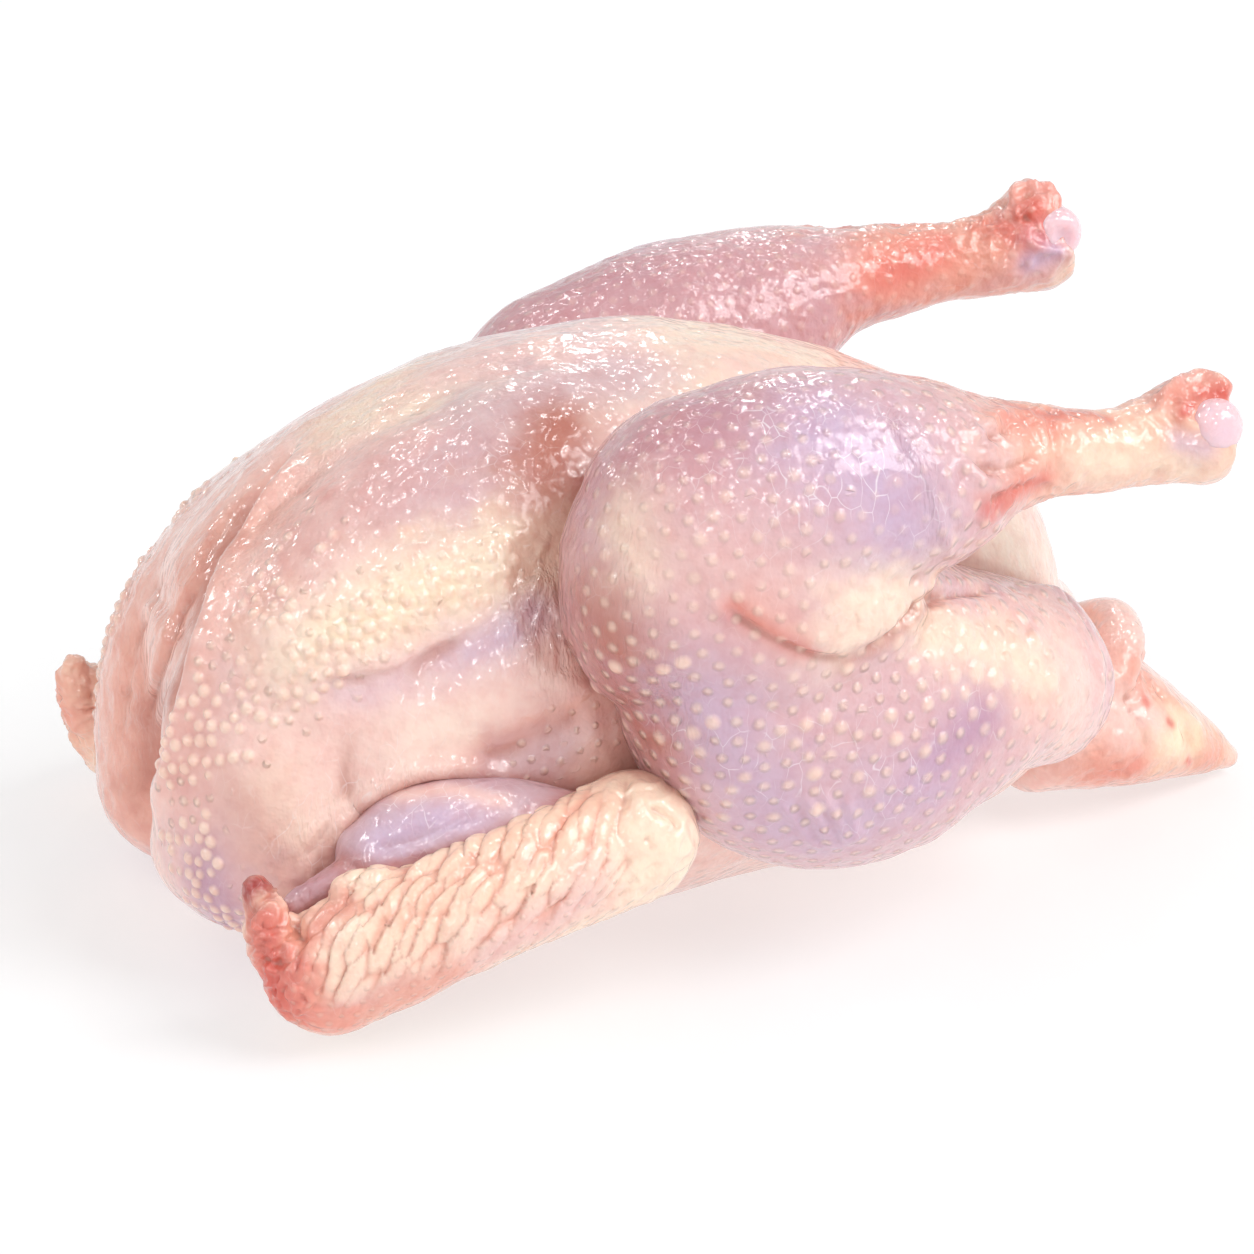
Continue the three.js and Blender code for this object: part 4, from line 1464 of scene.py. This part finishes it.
def make_piece(name, grain, context):
    """Makes, shapes, bumps, paints and finishes one fleshy piece."""
    sizes, colours = context.scene.chicken_sizes, context.scene.chicken_colours
    WORK.setdefault("rings", limb_rings())
    if "skin" not in WORK:
        WORK["skin"] = skin_finish(sizes, colours)
    obj = make_flesh(name, grain, round(sizes.smoothing * SMOOTHING_GRAIN / grain))
    WORK["surfaces"][name] = Surface(obj)
    clay = Clay(obj)
    press_shapes(clay, name)
    crumple_skin(clay, name)
    padded = name.startswith("wing")
    if padded:
        pad, mask = forearm_relief(clay.points, WORK["rings"][name][0])
        clay.points += clay.normals * ((pad - PAD_SINK) * mask * PAD_HEIGHT * MM)[:, None]
        clay.write()
    clay.points += clay.normals * clouds(clay.points, LUMPS)[:, None]
    clay.write()
    # close-set bumps are shaped here on finer faces, others by the finish
    places, radius, share, gaps = feather_bumps(clay, name)
    apart = smooth_step(0, CLOSE_GAP * MM, gaps / 2 - radius)
    close = share * (1 - apart)
    fine, finer = on_close_bumps(clay.points, places, radius, close, CLOSE_REACHES[0])
    extra = FACES_PER_SPLIT * np.count_nonzero(finer)
    thin_out(obj, fine, extra, sizes.most_faces)
    if extra:
        split_faces(obj, on_close_bumps(vertex_array(obj.data), places, radius, close, CLOSE_REACHES[1])[1])
    clay.read()
    near, far = nearest_of(clay.points, places)
    cap = np.clip(1 - (far / radius[near]) ** 2, 0, 1) * np.minimum(close[near], HIGHEST_CAP)
    clay.points += clay.normals * (cap * sizes.bump_height)[:, None]
    clay.points[:, 2] = np.maximum(clay.points[:, 2], 0)
    clay.write()
    tints = paint(obj.data, clay.points, clay.normals, name, colours)
    if padded:
        pad, mask = forearm_relief(clay.points, WORK["rings"][name][0])
        groove = PAD_GROOVE_SHARE * (smooth_step(0.8, 0.35, pad) * smooth_step(0.25, 1.0, mask))
        tints = laid_over(tints, colours.salmon, groove)
    tints = laid_over(tints, colours.dome, TIP_SHARE * np.clip(cap * 1.3, 0, 1))
    set_attribute(obj.data, "tint", tints, "FLOAT_COLOR")
    set_attribute(obj.data, "bump_at", places[near], "FLOAT_VECTOR")
    fields = {
        "bump_far": far,
        "bump_share": np.minimum(share * apart, 1.3)[near],
        "bump_tint": np.minimum(share * apart, 1.0)[near],
        "bump_size": radius[near],
    }
    for key, pieces in MASKS.items():
        fields[key] = mask_field(clay.points, clay.normals, name, pieces.get(name.split("_")[0], ()))
    for key, values in fields.items():
        set_attribute(obj.data, key, values)
    obj.data.materials.clear()
    obj.data.materials.append(WORK["skin"])
    select_only(obj)
    bpy.ops.object.shade_smooth()
    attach(obj, "root")
    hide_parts("chicken")


class ChickenBody(bpy.types.Operator):
    """Makes the body with its breast and neck flap"""

    bl_idname = "chicken.body"
    bl_label = "Body"

    def execute(self, context):
        make_piece("body", BODY_GRAIN, context)
        return {"FINISHED"}


class ChickenLegs(bpy.types.Operator):
    """Makes both legs, each a thigh, a knee and a drumstick"""

    bl_idname = "chicken.legs"
    bl_label = "Legs"

    def execute(self, context):
        make_piece("leg_right", LEG_GRAIN, context)
        make_piece("leg_left", LEG_GRAIN, context)
        return {"FINISHED"}


class ChickenWings(bpy.types.Operator):
    """Makes both folded wings: upper arms, then forearms with their tips"""

    bl_idname = "chicken.wings"
    bl_label = "Wings"

    def execute(self, context):
        for name in ("arm_right", "arm_left"):
            make_piece(name, ARM_GRAIN, context)
        for name in ("wing_right", "wing_left"):
            make_piece(name, WING_GRAIN, context)
        return {"FINISHED"}


class ChickenTail(bpy.types.Operator):
    """Makes the tail with the rim of the vent"""

    bl_idname = "chicken.tail"
    bl_label = "Tail"

    def execute(self, context):
        make_piece("tail", TAIL_GRAIN, context)
        return {"FINISHED"}



KNUCKLE_PLACE = {RIGHT: (90.6, -60.0, 109.9), LEFT: (92.4, -55.0, 109.0)}
KNUCKLE_RADIUS = 6.1
KNUCKLE_SPREAD = 0.55  # how far its two halves stand from its middle, in its radii
KNUCKLE_GRAIN = 0.0005
KNUCKLE_SMOOTHING = 12
KNUCKLE_DENT = {RIGHT: 0.7, LEFT: 2.6}  # mm
DENT_BREADTH = 0.5  # in its radii


class ChickenKnuckles(bpy.types.Operator):
    """Makes the gristle knuckle at the end of each shank"""

    bl_idname = "chicken.knuckles"
    bl_label = "Knuckles"

    def execute(self, context):
        material = gristle_finish(context.scene.chicken_colours)
        for side, name in ((RIGHT, "right"), (LEFT, "left")):
            place = np.array([KNUCKLE_PLACE[side]]) - (FRAME_SHIFT_X, 0, 0)
            if side == LEFT:
                place = left_leg_pose(place) * (1, -1, 1)
            place = (place[0] + (FRAME_SHIFT_X, 0, 0)) * MM
            deselect_all()
            parts = []
            for offset in (-KNUCKLE_SPREAD, KNUCKLE_SPREAD):
                middle = place + (0, offset * KNUCKLE_RADIUS * MM, 0)
                bpy.ops.mesh.primitive_uv_sphere_add(
                    segments=48, ring_count=24, radius=KNUCKLE_RADIUS * MM, location=middle
                )
                parts.append(bpy.context.object)
            select_only(parts[0])
            parts[1].select_set(True)
            bpy.ops.object.join()
            knuckle = bpy.context.object
            knuckle.name = "knuckle_" + name
            bpy.ops.object.transform_apply(location=True, rotation=True, scale=True)
            apply_modifier(knuckle, "REMESH", mode="VOXEL", voxel_size=KNUCKLE_GRAIN)
            apply_modifier(knuckle, "SMOOTH", iterations=KNUCKLE_SMOOTHING, factor=0.5)
            points = vertex_array(knuckle.data)
            away = np.linalg.norm((points - place)[:, [0, 2]], axis=1) / (DENT_BREADTH * KNUCKLE_RADIUS * MM)
            dent = np.exp(-(away**2))
            points[:, 1] -= np.sign(points[:, 1] - place[1]) * dent * KNUCKLE_DENT[side] * MM
            put_vertices(knuckle.data, points)
            set_attribute(knuckle.data, "dent", dent)
            knuckle.data.materials.append(material)
            select_only(knuckle)
            bpy.ops.object.shade_smooth()
            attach(knuckle, "root")
            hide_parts("leg_bone_" + name)
        return {"FINISHED"}


FLOOR_SIDE = 6.0
WORLD_LOW, WORLD_HIGH = 0.88, 0.45  # how bright the studio is at the horizon and overhead
WORLD_TOP = 0.75  # how high up it stops getting darker, as the sine of the height
# name, direction towards it, breadth in degrees, power
LAMPS = (
    ("key_lamp", (0.62, -0.5, 0.8), 36, 1.68),
    ("left_lamp", (-0.7, -0.2, 0.8), 55, 0.6),
)
GLINTS = 16  # small lamps spread evenly over the sky, seen only as glints in the wet skin
GOLDEN_TURN = math.pi * (3 - math.sqrt(5))
GLINT_BREADTH = 6
GLINT_POWER = 0.22
GLINT_SPREAD = 0.65  # how far down from overhead they reach


class ChickenStage(bpy.types.Operator):
    """Sets the pale floor, the soft lights and the camera"""

    bl_idname = "chicken.stage"
    bl_label = "Stage"

    def execute(self, context):
        deselect_all()
        bpy.ops.mesh.primitive_plane_add(size=FLOOR_SIDE, location=(0, 0, 0))
        floor = bpy.context.object
        floor.name = "floor"
        floor.data.materials.append(floor_finish())
        context.scene.world = studio_world()
        for name, towards, breadth, power in LAMPS:
            add_lamp(name, towards, breadth, power)
        for k in range(GLINTS):
            high = 1 - GLINT_SPREAD * (k + 0.5) / GLINTS
            out, turn = math.sqrt(1 - high**2), k * GOLDEN_TURN
            towards = (out * math.cos(turn), out * math.sin(turn), high)
            glint = add_lamp(f"glint_{k}", towards, GLINT_BREADTH, GLINT_POWER)
            glint.visible_diffuse = False
        bpy.ops.object.camera_add()
        camera = bpy.context.object
        camera.name = "camera"
        camera.data.sensor_width = SENSOR_MM
        camera.data.lens = FOCAL_PIXELS / PICTURE_SIDE * SENSOR_MM
        camera.data.clip_start = 0.01
        camera.data.clip_end = 20
        turned = Matrix((VIEW_RIGHT, VIEW_UP, VIEW_BACK)).transposed().to_4x4()
        camera.matrix_world = Matrix.Translation(VIEW_EYE) @ turned
        context.scene.camera = camera
        context.scene.view_settings.view_transform = "Standard"
        return {"FINISHED"}


def studio_world():
    """A soft white studio, brightest near the horizon."""
    world = bpy.data.worlds.new("studio")
    world.use_nodes = True
    nodes, links = world.node_tree.nodes, world.node_tree.links
    background = nodes["Background"]
    background.inputs[0].default_value = (1, 1, 1, 1)
    coordinate = nodes.new("ShaderNodeTexCoord")
    split = nodes.new("ShaderNodeSeparateXYZ")
    fade = nodes.new("ShaderNodeMapRange")
    fade.interpolation_type = "SMOOTHSTEP"
    for k, value in enumerate((0.0, WORLD_TOP, WORLD_LOW, WORLD_HIGH)):
        fade.inputs[k + 1].default_value = value
    links.new(coordinate.outputs["Generated"], split.inputs[0])
    links.new(split.outputs["Z"], fade.inputs["Value"])
    links.new(fade.outputs["Result"], background.inputs[1])
    return world


def add_lamp(name, towards, breadth, power):
    """A far lamp of a given breadth in degrees, shining from one direction."""
    bpy.ops.object.light_add(type="SUN")
    lamp = bpy.context.object
    lamp.name = name
    lamp.data.angle = math.radians(breadth)
    lamp.data.energy = power
    lamp.rotation_euler = Vector(towards).to_track_quat("Z", "Y").to_euler()
    return lamp


class ChickenPanel(bpy.types.Panel):
    """Lists the steps that build the bird"""

    bl_idname = "VIEW3D_PT_chicken"
    bl_label = "Whole Raw Chicken"
    bl_space_type = "VIEW_3D"
    bl_region_type = "UI"
    bl_category = "Chicken"

    def draw(self, context):
        for group in (context.scene.chicken_sizes, context.scene.chicken_colours):
            for key in group.bl_rna.properties.keys():
                if key not in ("rna_type", "name"):
                    self.layout.prop(group, key)
        for step in STEPS:
            self.layout.operator(step.bl_idname)


STEPS = (ChickenBody, ChickenLegs, ChickenWings, ChickenTail, ChickenKnuckles, ChickenStage)
CLASSES = (ChickenSizes, ChickenColours, *STEPS, ChickenPanel)


def register():
    for item in CLASSES:
        bpy.utils.register_class(item)
    bpy.types.Scene.chicken_sizes = bpy.props.PointerProperty(type=ChickenSizes)
    bpy.types.Scene.chicken_colours = bpy.props.PointerProperty(type=ChickenColours)


def unregister():
    del bpy.types.Scene.chicken_sizes, bpy.types.Scene.chicken_colours
    for item in reversed(CLASSES):
        bpy.utils.unregister_class(item)


def main():
    register()
    bpy.ops.chicken.body()
    bpy.ops.chicken.legs()
    bpy.ops.chicken.wings()
    bpy.ops.chicken.tail()
    bpy.ops.chicken.knuckles()
    bpy.ops.chicken.stage()


if __name__ == "__main__":
    main()
